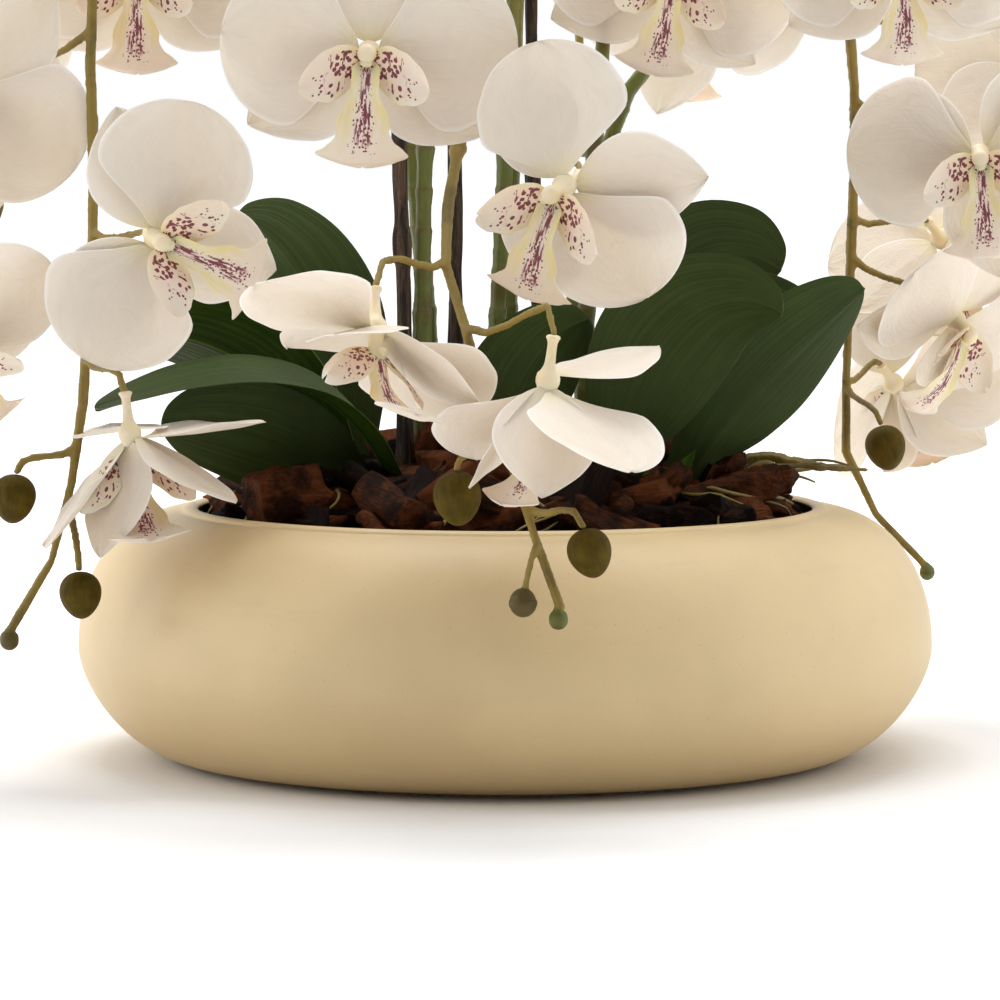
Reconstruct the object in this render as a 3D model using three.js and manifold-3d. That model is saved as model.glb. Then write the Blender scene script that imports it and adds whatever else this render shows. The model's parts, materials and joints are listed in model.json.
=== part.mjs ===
// A potted moth orchid: a low round bowl of bark, two clumps of strap leaves, twig stakes and six
// arching flower spikes with their flowers and buds. Millimetres, +Z up. The origin is the centre of
// the bowl's flat foot, and the front of the arrangement faces -Y.
import * as THREE from "three";
import { mergeVertices } from "three/addons/utils/BufferGeometryUtils.js";
import Module from "manifold-3d";

const wasm = await Module();
wasm.setup();

// ---- driving dimensions ----

const GAP = 0.35; // clearance between pieces that touch

const BOWL = {
  radius: 190, // widest
  waist: 49, // height of the widest ring
  height: 111,
  mouth: 143.5, // radius of the lip's crest
  foot: 118, // radius of the flat disc it stands on
  footHeight: 2,
  heel: 149, // where the rounded side leaves the underside
  wall: 7,
  lowerRoundness: 1.6, // superellipse exponents of the side below and above the waist
  upperRoundness: 2.1,
};
const BED = { edge: 105, crown: 124, rippled: 3 }; // top of the bark at the wall and in the middle
const PAD = { count: 3, radius: 4.5, height: 1.9, circle: 134, first: -20.5 }; // clear bumpers

const FLOWER = {
  petalLength: 57,
  petalHalf: 33,
  sepalLength: 54,
  sepalHalf: 21,
  blade: 2.2, // thickness at the middle of a petal
  ovary: 18, // the pale stalk behind the flower
  ovaryRadius: 2.2,
  hub: 6.5, // radius where the petals meet
  column: 14, // how far the column stands forward
};
const LEAF = { thickness: 3.2, baseHalf: 8 };
const SPIKE = { base: 4.4, tip: 1.9, stalkRoot: 2.3, stalkEnd: 1.8 };
const BUD = { length: 21, half: 9.3 };

// ---- geometry helpers ----

const vec = (x, y, z) => new THREE.Vector3(x, y, z);
const lerp = THREE.MathUtils.lerp;
const rad = THREE.MathUtils.degToRad;

/** The geometry as a manifold-3d solid, with its shared corners merged. */
function solid(geometry) {
  const bare = new THREE.BufferGeometry();
  bare.setAttribute("position", geometry.getAttribute("position").clone());
  if (geometry.index) bare.setIndex(geometry.index.clone());
  const merged = mergeVertices(bare, 1e-3);
  return new wasm.Manifold(
    new wasm.Mesh({
      numProp: 3,
      vertProperties: new Float32Array(merged.attributes.position.array),
      triVerts: new Uint32Array(merged.index.array),
    }),
  );
}

/** A manifold-3d solid as a three.js geometry. */
function geometryOf(made) {
  const { numProp, vertProperties, triVerts, numVert } = made.getMesh();
  const places = new Float32Array(numVert * 3);
  for (let i = 0; i < numVert; i++)
    places.set(vertProperties.subarray(i * numProp, i * numProp + 3), i * 3);
  const geometry = new THREE.BufferGeometry();
  geometry.setAttribute("position", new THREE.BufferAttribute(places, 3));
  geometry.setIndex(new THREE.BufferAttribute(triVerts, 1));
  const flat = geometry.toNonIndexed();
  flat.computeVertexNormals();
  return flat;
}

const joined = (geometries) => geometries.map(solid).reduce((a, b) => a.add(b));

/** Moves every vertex of a geometry through a function of its position. */
function reshape(geometry, move) {
  const places = geometry.getAttribute("position");
  const v = new THREE.Vector3();
  for (let i = 0; i < places.count; i++) {
    const moved = move(v.fromBufferAttribute(places, i));
    places.setXYZ(i, moved.x, moved.y, moved.z);
  }
  return geometry;
}

/** A closed tube along a curve, with radiusAt(t) from its start (t 0) to its end (t 1). */
function tube(curve, radiusAt, sides, steps) {
  const frames = curve.computeFrenetFrames(steps, false);
  const spine = curve.getSpacedPoints(steps);
  return reshape(new THREE.CylinderGeometry(1, 1, 1, sides, steps), (v) => {
    const k = Math.round((v.y + 0.5) * steps);
    const r = radiusAt(k / steps);
    return spine[k]
      .clone()
      .addScaledVector(frames.normals[k], v.x * r)
      .addScaledVector(frames.binormals[k], -v.z * r);
  });
}

/** A thin closed blade, pointed at both ends: a sphere flattened to the outline, whose points
 *  (share of the length, distance across, distance through) are then placed by a function. */
function blade({ half, thickness, around, rings }, place) {
  return reshape(new THREE.SphereGeometry(1, around, rings), (v) => {
    const t = (1 + v.y) / 2;
    const ring = Math.hypot(v.x, v.z);
    const across = ring > 1e-6 ? v.x / ring : 0;
    const through = ring > 1e-6 ? v.z / ring : 0;
    return place(t, across * half(t), (through * thickness(t)) / 2);
  });
}

const smooth = (t, low, high) => THREE.MathUtils.smoothstep(t, low, high);

// ---- the bowl and its bark ----

/** Points of the bowl's side from the heel over the waist to the lip, drawn in by inset. */
function side(inset, lowest, highest, steps) {
  const points = [];
  const low = 2 / BOWL.lowerRoundness;
  const high = 2 / BOWL.upperRoundness;
  const waist = BOWL.radius - inset;
  for (let i = 0; i <= steps; i++) {
    const a = (i / steps) * (Math.PI / 2);
    points.push([
      lerp(BOWL.heel - inset / 2, waist, Math.sin(a) ** low),
      lerp(lowest, BOWL.waist, 1 - Math.max(0, Math.cos(a)) ** low),
    ]);
  }
  for (let i = 1; i <= steps; i++) {
    const a = (i / steps) * (Math.PI / 2);
    points.push([
      lerp(BOWL.mouth - inset, waist, Math.max(0, Math.cos(a)) ** high),
      lerp(BOWL.waist, highest, Math.sin(a) ** high),
    ]);
  }
  return points;
}

const flatPoints = (pairs) => pairs.map(([r, z]) => new THREE.Vector2(r, z));

/** A turned solid standing on +Z, from a profile of radius and height. */
function turned(profile, segments) {
  const lathe = new THREE.LatheGeometry(flatPoints(profile), segments);
  return lathe.rotateX(Math.PI / 2);
}

const floorHeight = BOWL.footHeight + BOWL.wall;

function bowlGeometry() {
  const lip = BOWL.wall * 0.45;
  const outside = side(0, BOWL.footHeight, BOWL.height, 6);
  const inside = side(BOWL.wall, floorHeight, BOWL.height - lip, 4).reverse();
  return turned(
    [
      [0, 0],
      [BOWL.foot, 0],
      [BOWL.foot, BOWL.footHeight],
      ...outside,
      [BOWL.mouth - lip, BOWL.height - lip * 0.25],
      ...inside,
      [0, floorHeight],
    ],
    36,
  );
}

/** Height of the bark's surface at a distance from the bowl's axis. */
const barkTop = (r) =>
  lerp(BED.crown, BED.edge, smooth(r, 25, BOWL.mouth - BOWL.wall));

function bedSolid(standing) {
  const inset = BOWL.wall + 2;
  const wall = side(inset, floorHeight + GAP, BOWL.height - BOWL.wall, 4);
  const under = wall.filter(([, z]) => z < BED.edge - 4);
  const rim = BOWL.mouth - inset - 3;
  const top = [1, 0.75, 0.5, 0.25].map((share) => [
    rim * share,
    barkTop(rim * share),
  ]);
  const bed = turned(
    [[0, floorHeight + GAP], ...under, [rim, BED.edge - 3], ...top, [0, BED.crown]],
    18,
  );
  reshape(bed, (v) => {
    const r = Math.hypot(v.x, v.y);
    const rises = r > 1 && r < rim * 0.9 && v.z > BED.edge - 1;
    if (rises) v.z += BED.rippled * Math.sin(v.x * 0.11) * Math.cos(v.y * 0.13);
    return v;
  });
  return standing.map(solid).reduce((left, hole) => left.subtract(hole), solid(bed));
}

/** A rough lump of bark: a box with its corners pulled about, in its own frame. */
function chunkGeometry([w, d, h], grow, seed) {
  const box = new THREE.BoxGeometry(2, 2, 2, 2, 2, 2);
  return reshape(box, (v) => {
    const round = 1 / Math.max(1, Math.hypot(v.x, v.y, v.z) * 0.78);
    const wobble = 1 + 0.12 * Math.sin(seed + 5 * v.x + 3 * v.y + 4 * v.z);
    return vec(
      v.x * (w / 2 + grow) * round * wobble,
      v.y * (d / 2 + grow) * round * wobble,
      v.z * (h / 2 + grow) * round * wobble,
    );
  });
}

// name, centre, size (length, depth, height), turn and tilt in degrees
const CHUNKS = [
  ["bark_chunk_round", [-94, -70, 118], [36, 30, 30], 20, -8],
  ["bark_chunk_front", [72, -88, 110], [38, 22, 17], 20, 4],
  ["bark_chunk_right", [101, -44, 120], [56, 20, 15], 18, -14],
  ["bark_chunk_left", [-30, -72, 121], [50, 24, 17], -14, -6],
];

// ---- flowers and buds ----

/** Where a tepal's point goes in the flower's frame: +Z out of the face, +Y to the top sepal.
 *  lift bends the tepal forward from the plane, and heading is its direction from +Y, clockwise. */
function placeTepal(shape, lift, heading) {
  const { length, start, forward, arch, cup } = shape;
  const tilt = rad(lift);
  const turn = rad(heading);
  return (t, x, z) => {
    const along = start + length * t * (1 - 0.12 * Math.abs(arch) * t);
    const out = z + arch * length * t * t * 0.22 + cup * x * x * 0.01;
    const y = along * Math.cos(tilt) - out * Math.sin(tilt);
    const depth = forward + along * Math.sin(tilt) + out * Math.cos(tilt);
    return vec(
      x * Math.cos(turn) + y * Math.sin(turn),
      y * Math.cos(turn) - x * Math.sin(turn),
      depth,
    );
  };
}

/** Half the width of a broad petal, narrow where it joins the flower. */
const petalHalf = (t) =>
  FLOWER.petalHalf *
  Math.sqrt(Math.max(0, 1 - (2 * t ** 0.9 - 1) ** 2)) *
  lerp(0.4, 1, smooth(t, 0.02, 0.4));

const sepalHalf = (t) => FLOWER.sepalHalf * Math.max(0, Math.sin(Math.PI * t ** 0.85)) ** 0.8;

const flatBlade = (half, around, rings) => ({
  half,
  thickness: () => FLOWER.blade,
  around,
  rings,
});

/** The lip: two ear lobes and a longer middle lobe that widens towards its end, swung forward. */
function lipGeometries(swing, twist) {
  const earHalf = (t) => 10 * Math.max(0, Math.sin(Math.PI * t)) ** 0.6;
  const ear = (facing) =>
    blade(flatBlade(earHalf, 4, 3), (t, x, z) =>
      vec(facing * (0.5 + 25 * t), -1.5 + x - 18 * t, 9 + 10 * t - z * facing),
    );
  const middleHalf = (t) => 15 * Math.max(0, Math.sin(Math.PI * t ** 1.8)) ** 0.6;
  const middle = blade(flatBlade(middleHalf, 4, 4), (t, x, z) =>
    vec(x, -1 - 48 * t, 6 + 12 * Math.sin(Math.PI * t * 0.8) - z),
  );
  const hinge = vec(0, -1, 8);
  const lobes = [ear(1), ear(-1), middle];
  for (const lobe of lobes)
    reshape(lobe, (v) => {
      v.sub(hinge).applyAxisAngle(vec(1, 0, 0), -rad(swing)).add(hinge);
      return v.applyAxisAngle(vec(0, 0, 1), rad(twist));
    });
  return lobes;
}

/** A whole flower in its own frame: origin where the tepals meet, +Z out of its face. */
function flowerGeometry({ petals, sepals, turn, lip, twist = 0 }) {
  const broad = {
    length: FLOWER.petalLength,
    start: 4,
    forward: 1.6,
    arch: -0.35,
    cup: -0.35,
  };
  const narrow = {
    length: FLOWER.sepalLength,
    start: 4,
    forward: -1.6,
    arch: -0.25,
    cup: 0.3,
  };
  const tepals = [
    ...[84, -84].map((heading, i) =>
      blade(flatBlade(petalHalf, 6, 4), placeTepal(broad, petals[i], heading)),
    ),
    ...[0, 122, 238].map((heading, i) =>
      blade(flatBlade(sepalHalf, 4, 4), placeTepal(narrow, sepals[i], turn + heading)),
    ),
  ];
  const middle = turned(
    [
      [0, -FLOWER.ovary],
      [FLOWER.ovaryRadius, -FLOWER.ovary],
      [3, -5],
      [FLOWER.hub, -2.5],
      [FLOWER.hub, 2.5],
      [4.4, 5],
      [3.4, FLOWER.column],
      [0, FLOWER.column],
    ],
    6,
  );
  return geometryOf(joined([middle, ...tepals, ...lipGeometries(lip, twist)]));
}

// How far a flower has opened, in degrees: lift of its two petals and of its three sepals from the
// top one clockwise, turn of the sepals, and swing and twist of the lip.
const OPENNESS = {
  flat: { petals: [5, 5], sepals: [-4, -4, -4], turn: 0, lip: 0 },
  turned: { petals: [2, 2], sepals: [-6, -6, -6], turn: 52, lip: 0 },
  swept: { petals: [-14, -14], sepals: [-18, -18, -18], turn: 22, lip: 0, twist: 52 },
  drooping: { petals: [44, 30], sepals: [-12, 64, 54], turn: 0, lip: 66 },
  folded: { petals: [50, 4], sepals: [2, 68, 40], turn: 0, lip: 48 },
  leaning: { petals: [-2, 26], sepals: [-4, 28, 40], turn: 0, lip: 50 },
};

/** A closed bud, its stalk end at the origin and its tip along +Y. */
function budGeometry() {
  const girth = (t) => BUD.half * Math.max(0, Math.sin(Math.PI * t ** 0.8)) ** 0.62;
  const shape = { half: girth, thickness: (t) => 2 * girth(t), around: 8, rings: 6 };
  return blade(shape, (t, x, z) => vec(x, BUD.length * t, z));
}

// ---- leaves ----

/** A strap leaf along a curve, channelled along its midrib and lying across the curve, rolled. */
function leafGeometry({ spine, half, roll }, grow) {
  const curve = new THREE.CubicBezierCurve3(...spine.map((p) => vec(...p)));
  const width = (t) =>
    grow +
    lerp(
      lerp(LEAF.baseHalf, half, smooth(t, 0.05, 0.55)),
      0,
      1 - Math.sqrt(Math.max(0, 1 - Math.max(0, (t - 0.5) / 0.5) ** 2.4)),
    );
  const shape = {
    half: width,
    thickness: (t) => LEAF.thickness * lerp(1.2, 0.8, t) + 2 * grow,
    around: 8,
    rings: 9,
  };
  return blade(shape, (t, x, z) => {
    const along = curve.getPointAt(t);
    const ahead = curve.getTangentAt(t);
    const across = ahead.clone().cross(vec(0, 0, 1)).normalize();
    across.applyAxisAngle(ahead, rad(roll));
    const face = across.clone().cross(ahead);
    const channel = lerp(0.5, 0.16, smooth(t, 0, 0.5)) * Math.abs(x);
    return along.addScaledVector(across, x).addScaledVector(face, z + channel);
  });
}

// name, curve from the base in the bark to the tip (4 points), half width, roll in degrees
const LEAVES = [
  ["leaf_left_upright", [[-66, 22, 108], [-76, 26, 200], [-100, 44, 236], [-124, 56, 236]], 29, -46],
  ["leaf_left_long", [[-64, -2, 106], [-92, 0, 168], [-128, -14, 196], [-172, -20, 186]], 31, 38],
  ["leaf_left_curled", [[-44, -34, 108], [-66, -46, 184], [-112, -66, 178], [-176, -74, 158]], 24, -12],
  ["leaf_left_low", [[-54, -22, 106], [-80, -30, 136], [-108, -40, 146], [-150, -42, 150]], 27, 62],
  ["leaf_middle", [[-10, -20, 108], [0, -24, 158], [12, -34, 186], [36, -44, 196]], 25, -46],
  ["leaf_right_front", [[46, -28, 107], [50, -48, 166], [80, -72, 222], [118, -86, 200]], 31, -50],
  ["leaf_right_low", [[74, -12, 106], [84, -16, 144], [124, -26, 180], [158, -12, 208]], 27, -62],
  ["leaf_right_back", [[58, 46, 108], [54, 58, 184], [84, 76, 240], [128, 90, 212]], 33, -74],
  ["leaf_right_upright", [[66, 14, 108], [62, 18, 168], [96, 30, 204], [146, 36, 176]], 31, -74],
];

// ---- spikes, with their flowers and buds ----

const RISE_FROM = 72; // depth at which stems and stakes start inside the bark

// Each spike: its route from inside the bark, up, over and down to its tip.
const SPIKES = {
  left: [
    [-36, 4, RISE_FROM], [-37, -8, 150], [-36, -9, 240], [-34, -8, 340], [-40, -14, 440],
    [-76, -30, 510], [-128, -46, 500], [-160, -54, 438], [-174, -58, 370], [-178, -60, 310],
    [-176, -68, 250], [-178, -80, 205], [-180, -86, 160], [-185, -90, 124], [-186, -94, 104],
    [-200, -98, 86], [-211, -98, 64],
  ],
  front: [
    [-8, 22, RISE_FROM], [-5, 22, 160], [0, 20, 260], [4, 8, 360], [0, -26, 428],
    [-12, -62, 414], [-19, -80, 350], [-20, -100, 268], [-26, -136, 230], [-20, -156, 207],
    [-9, -166, 172], [-7, -169, 156], [8, -186, 130], [13, -208, 108], [22, -210, 86],
  ],
  right: [
    [34, 34, RISE_FROM], [36, 38, 170], [42, 40, 290], [58, 42, 410], [98, 46, 486],
    [138, 50, 462], [151, 56, 400], [154, 64, 350], [159, 76, 318], [162, 88, 280],
    [161, 92, 230], [160, 96, 180], [159, 98, 135], [164, 99, 108], [186, 94, 88],
    [197, 92, 74],
  ],
  left_back: [
    [-26, 34, RISE_FROM], [-34, 44, 180], [-52, 58, 320], [-96, 72, 446], [-158, 66, 482],
    [-204, 48, 430], [-218, 26, 350], [-218, 6, 280], [-226, -6, 235], [-240, -10, 196],
  ],
  right_back: [
    [22, 52, RISE_FROM], [30, 66, 190], [50, 80, 280], [66, 84, 309], [100, 86, 342],
    [150, 96, 388], [204, 110, 396], [240, 122, 340], [256, 128, 280], [264, 126, 222],
  ],
  back: [
    [0, 60, RISE_FROM], [2, 70, 190], [6, 84, 340], [12, 112, 446], [22, 158, 482],
    [30, 194, 436], [35, 208, 360], [38, 210, 272],
  ],
};

// Each flower: spike, height at which its stalk leaves the spike, centre, the way it faces (degrees
// round to the right from the front, degrees up), roll clockwise, openness, size.
const FLOWERS = [
  ["left", 318, [-231, -68, 296], 10, 0, 45, "flat", 1],
  ["left", 232, [-146, -122, 232], 14, -6, -68, "turned", 1],
  ["left", 200, [-238, -114, 188], 30, -34, -40, "flat", 0.92],
  ["left", 180, [-157, -122, 149.5], 90, -84, 104, "folded", 0.95],
  ["left", 424, [-116, -104, 412], -10, -4, 8, "flat", 1],
  ["left", 506, [-72, -92, 492], 4, 8, -6, "turned", 1],
  ["left", 484, [-196, -66, 486], -34, 4, 14, "flat", 1],
  ["front", 330, [-57, -112, 309], -2, 2, 2, "flat", 1.06],
  ["front", 284, [24, -150, 254], -22, -14, 70, "swept", 1.04],
  ["front", 222, [-52, -207, 198], 0, -66, -138, "leaning", 0.98],
  ["front", 196, [17, -222.5, 178], -112, -82, -121, "drooping", 0.98],
  ["front", 412, [28, -106, 396], 12, 4, 10, "flat", 1],
  ["right", 290, [214, 34, 266], -6, -2, -4, "turned", 1.02],
  ["right", 356, [174, 0, 352], 4, -4, 0, "flat", 1],
  ["right", 236, [206, 128, 226], 150, -30, 20, "flat", 0.92],
  ["right", 218, [208, 76, 190], 44, -34, 24, "flat", 0.92],
  ["right", 160, [184, 128, 158], 150, -34, 20, "drooping", 0.95],
  ["right", 470, [104, -10, 446], -8, 6, -10, "flat", 1],
  ["left_back", 390, [-160, -8, 347], -4, 0, 0, "flat", 1],
  ["left_back", 470, [-158, 128, 452], 170, 0, 10, "turned", 1],
  ["left_back", 340, [-246, 86, 330], 220, -8, -10, "flat", 0.96],
  ["right_back", 340, [74, 34, 346], 6, 0, 12, "flat", 1],
  ["right_back", 318, [254, 182, 306], 160, -4, 6, "flat", 0.96],
  ["back", 430, [-26, 210, 420], 190, 0, 6, "flat", 1],
  ["back", 350, [92, 224, 338], 165, -6, -8, "turned", 1],
];

// Each bud: name, spike, height at which its stalk leaves, place of its top, the way it hangs, size.
const BUDS = [
  ["bud_left_outer", "left", 141, [-208, -92, 131], [-0.1, 0, -1], 1],
  ["bud_left_low", "left", 118, [-179, -118, 92], [0.05, 0, -1], 0.95],
  ["bud_front_large", "front", 150, [-20, -184, 139], [0.05, 0, -1], 1.05],
  ["bud_front_side", "front", 124, [31, -222, 119], [0.25, 0, -1], 0.95],
  ["bud_right", "right", 158, [174, 76, 141], [0.2, -0.1, -1], 1],
];

/** The small buds grown in one with a spike's tip: offset from the tip, and radius. */
const TIP_BUDS = {
  left: [[0, 0, -3, 4.2]],
  front: [[-1, 0, -4, 4], [-15, 2, 2, 5.4]],
  right: [[0, 0, -2, 3.6]],
  left_back: [[0, 0, -3, 5.5]],
  right_back: [[0, 0, -3, 5.5]],
  back: [[0, 0, -3, 4.5]],
};

/** The point of a spike's falling side at a height, and its direction there. */
function pointOnFall(curve, height) {
  for (let t = 1; t > 0; t -= 0.002) {
    const point = curve.getPointAt(t);
    if (point.z >= height) return { point, ahead: curve.getTangentAt(t) };
  }
  throw new Error("no point of the spike at height " + height);
}

/** The frame of a flower: columns right, up and front, from where it faces and its roll. */
function flowerBasis(azimuth, elevation, roll) {
  const a = rad(azimuth);
  const e = rad(elevation);
  const front = vec(Math.sin(a) * Math.cos(e), -Math.cos(a) * Math.cos(e), Math.sin(e));
  const up = vec(0, 0, 1).addScaledVector(front, -front.z).normalize();
  up.applyAxisAngle(front, -rad(roll));
  const right = up.clone().cross(front);
  return { front, basis: new THREE.Matrix4().makeBasis(right, up, front) };
}

/** A stalk from a spike to the back of a flower or the top of a bud. */
function stalkGeometry(curve, height, end, arriving) {
  const { point, ahead } = pointOnFall(curve, height);
  const span = point.distanceTo(end);
  const leaving = end.clone().sub(point).normalize().addScaledVector(ahead, 0.5).normalize();
  const route = new THREE.CubicBezierCurve3(
    point,
    point.clone().addScaledVector(leaving, span * 0.4),
    end.clone().addScaledVector(arriving, -span * 0.42),
    end,
  );
  const radius = (t) => lerp(SPIKE.stalkRoot, SPIKE.stalkEnd, smooth(t, 0, 0.3));
  return tube(route, radius, 4, 5);
}

/** The bare stem of a spike, swollen at its joints and thickened all over by grow. */
function stemGeometry(curve, grow) {
  const steps = Math.round(curve.points.length * 1.6);
  const radius = (t) => {
    const swollen = Math.round(t * steps) % 3 === 0 ? 1.2 : 1;
    return lerp(SPIKE.base, SPIKE.tip, t ** 0.8) * swollen + grow;
  };
  return tube(curve, radius, 5, steps);
}

/** A spike with its stalks and with the small buds at its tip. */
function spikeSolid(curve, stalks, tipBuds) {
  const tip = curve.getPoint(1);
  const knobs = tipBuds.map(([x, y, z, radius]) =>
    new THREE.SphereGeometry(radius, 6, 4)
      .scale(1, 1, 1.25)
      .translate(tip.x + x, tip.y + y, tip.z + z),
  );
  const forks = tipBuds
    .filter(([x]) => Math.abs(x) > 5)
    .map(([x, y, z]) => {
      const from = curve.getPointAt(0.965);
      const to = tip.clone().add(vec(x, y, z));
      const over = from.clone().lerp(to, 0.6).add(vec(0, 0, 7));
      const fork = new THREE.QuadraticBezierCurve3(from, over, to);
      return tube(fork, () => SPIKE.tip * 0.8, 5, 4);
    });
  return joined([stemGeometry(curve, 0), ...stalks, ...knobs, ...forks]);
}

// ---- stakes and roots ----

// name, foot, top, radius
const STAKES = [
  ["twig_stake_left", [-45, -15, RISE_FROM], [-46, -16, 372], 4.6],
  ["twig_stake_middle", [-25, 6, RISE_FROM], [-20, 4, 388], 4.2],
  ["twig_stake_right", [16, 30, RISE_FROM], [12, 32, 356], 4.6],
];

/** A slightly crooked twig. */
function stakeGeometry(foot, top, radius, grow) {
  const middle = (share, aside) =>
    vec(...foot).lerp(vec(...top), share).add(vec(aside, -aside * 0.6, 0));
  const curve = new THREE.CatmullRomCurve3([
    vec(...foot),
    middle(0.35, 1.2),
    middle(0.7, -1),
    vec(...top),
  ]);
  const knobbly = (t) => radius * (1 - 0.25 * t + 0.08 * Math.sin(t * 40)) + grow;
  return tube(curve, knobbly, 6, 9);
}

// name, route, radius: air roots that creep over the bark and the lip
const ROOTS = [
  ["air_root_right", [[92, 6, 118], [112, 4, 132], [136, 0, 128], [162, 4, 126]], 3],
  ["air_root_left", [[-86, 12, 120], [-104, 16, 134], [-126, 12, 131], [-148, 4, 127]], 2.6],
];

function rootGeometry(points, radius, grow) {
  const curve = new THREE.CatmullRomCurve3(points.map((p) => vec(...p)));
  const tapered = (t) => radius * (1 - 0.75 * t ** 3) + grow;
  return tube(curve, tapered, 5, 7);
}

// ---- materials ----

const look = (color, roughness) =>
  new THREE.MeshStandardMaterial({ color, roughness, metalness: 0 });
const LOOKS = {
  ceramic: look(0xd8c49c, 0.6),
  rubber: look(0xcbb26a, 0.35),
  bark: look(0x5a3423, 0.9),
  twig: look(0x3a2a20, 0.95),
  root: look(0x8b8f5c, 0.7),
  leaf: look(0x24401f, 0.4),
  petal: look(0xf3ebe0, 0.5),
  stem: look(0x7a7a35, 0.55),
  bud: look(0x5f6130, 0.6),
};

// ---- the assembly ----

const orchid = new THREE.Group();
const standing = []; // what stands in the bark, a little larger, to be cut out of the bed

/** Adds a named mesh to the plant; place sets where it stands and how it is turned. */
function add(name, geometry, material, place) {
  const mesh = new THREE.Mesh(geometry, material);
  mesh.name = name;
  place?.(mesh);
  orchid.add(mesh);
}

add("bowl", bowlGeometry(), LOOKS.ceramic);
for (let i = 0; i < PAD.count; i++) {
  const angle = rad(PAD.first - 90 + (360 / PAD.count) * i);
  const pad = new THREE.CylinderGeometry(PAD.radius * 0.8, PAD.radius, PAD.height, 12);
  add("foot_pad_" + (i + 1), pad.rotateX(-Math.PI / 2), LOOKS.rubber, (mesh) =>
    mesh.position.set(PAD.circle * Math.cos(angle), PAD.circle * Math.sin(angle), PAD.height / 2),
  );
}

for (const [name, foot, top, radius] of STAKES) {
  add(name, stakeGeometry(foot, top, radius, 0), LOOKS.twig);
  standing.push(stakeGeometry(foot, top, radius, GAP));
}
for (const [name, points, radius] of ROOTS) {
  add(name, rootGeometry(points, radius, 0), LOOKS.root);
  standing.push(rootGeometry(points, radius, GAP));
}
for (const [name, spine, half, roll] of LEAVES) {
  add(name, leafGeometry({ spine, half, roll }, 0), LOOKS.leaf);
  standing.push(leafGeometry({ spine, half, roll }, GAP));
}
CHUNKS.forEach(([name, [x, y, z], size, turn, tilt], seed) => {
  const place = (object) => {
    object.position.set(x, y, z);
    object.rotation.set(0, rad(tilt), rad(turn), "ZYX");
  };
  add(name, chunkGeometry(size, 0, seed), LOOKS.bark, place);
  const hollow = new THREE.Object3D();
  place(hollow);
  hollow.updateMatrix();
  standing.push(chunkGeometry(size, GAP, seed).applyMatrix4(hollow.matrix));
});

const curves = {}; // each spike's course
const stalks = {}; // the stalks that leave it
for (const [name, points] of Object.entries(SPIKES)) {
  const course = points.map((p) => vec(...p));
  curves[name] = new THREE.CatmullRomCurve3(course, false, "centripetal");
  curves[name].arcLengthDivisions = 600;
  stalks[name] = [];
}

const flowerShapes = {};
for (const [kind, posture] of Object.entries(OPENNESS))
  flowerShapes[kind] = flowerGeometry(posture);
for (const [spike, leaves, centre, azimuth, elevation, roll, kind, size] of FLOWERS) {
  const { front, basis } = flowerBasis(azimuth, elevation, roll);
  const name = "flower_" + spike + "_" + (stalks[spike].length + 1);
  add(name, flowerShapes[kind], LOOKS.petal, (mesh) => {
    mesh.position.set(...centre);
    mesh.quaternion.setFromRotationMatrix(basis);
    mesh.scale.setScalar(size);
  });
  const end = vec(...centre).addScaledVector(front, -FLOWER.ovary * size - GAP);
  stalks[spike].push(stalkGeometry(curves[spike], leaves, end, front));
}

const budShape = budGeometry();
for (const [name, spike, leaves, top, hanging, size] of BUDS) {
  const down = vec(...hanging).normalize();
  add(name, budShape, LOOKS.bud, (mesh) => {
    mesh.position.set(...top);
    mesh.quaternion.setFromUnitVectors(vec(0, 1, 0), down);
    mesh.scale.setScalar(size);
  });
  const end = vec(...top).addScaledVector(down, -GAP);
  stalks[spike].push(stalkGeometry(curves[spike], leaves, end, down));
}

for (const [name, curve] of Object.entries(curves)) {
  const spike = spikeSolid(curve, stalks[name], TIP_BUDS[name]);
  add("spike_" + name, geometryOf(spike), LOOKS.stem);
  standing.push(stemGeometry(curve, GAP));
}

add("bark_bed", geometryOf(bedSolid(standing)), LOOKS.bark);

export default orchid;
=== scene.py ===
"""Looks for a potted moth orchid: a round bowl of bark, strap leaves and arching flower spikes."""

import json
import math
import random

import bmesh
import bpy
import numpy as np
from bpy.props import FloatProperty, FloatVectorProperty, IntProperty, PointerProperty
from mathutils import Matrix, Vector, noise
from mathutils.bvhtree import BVHTree
from mathutils.kdtree import KDTree

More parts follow.
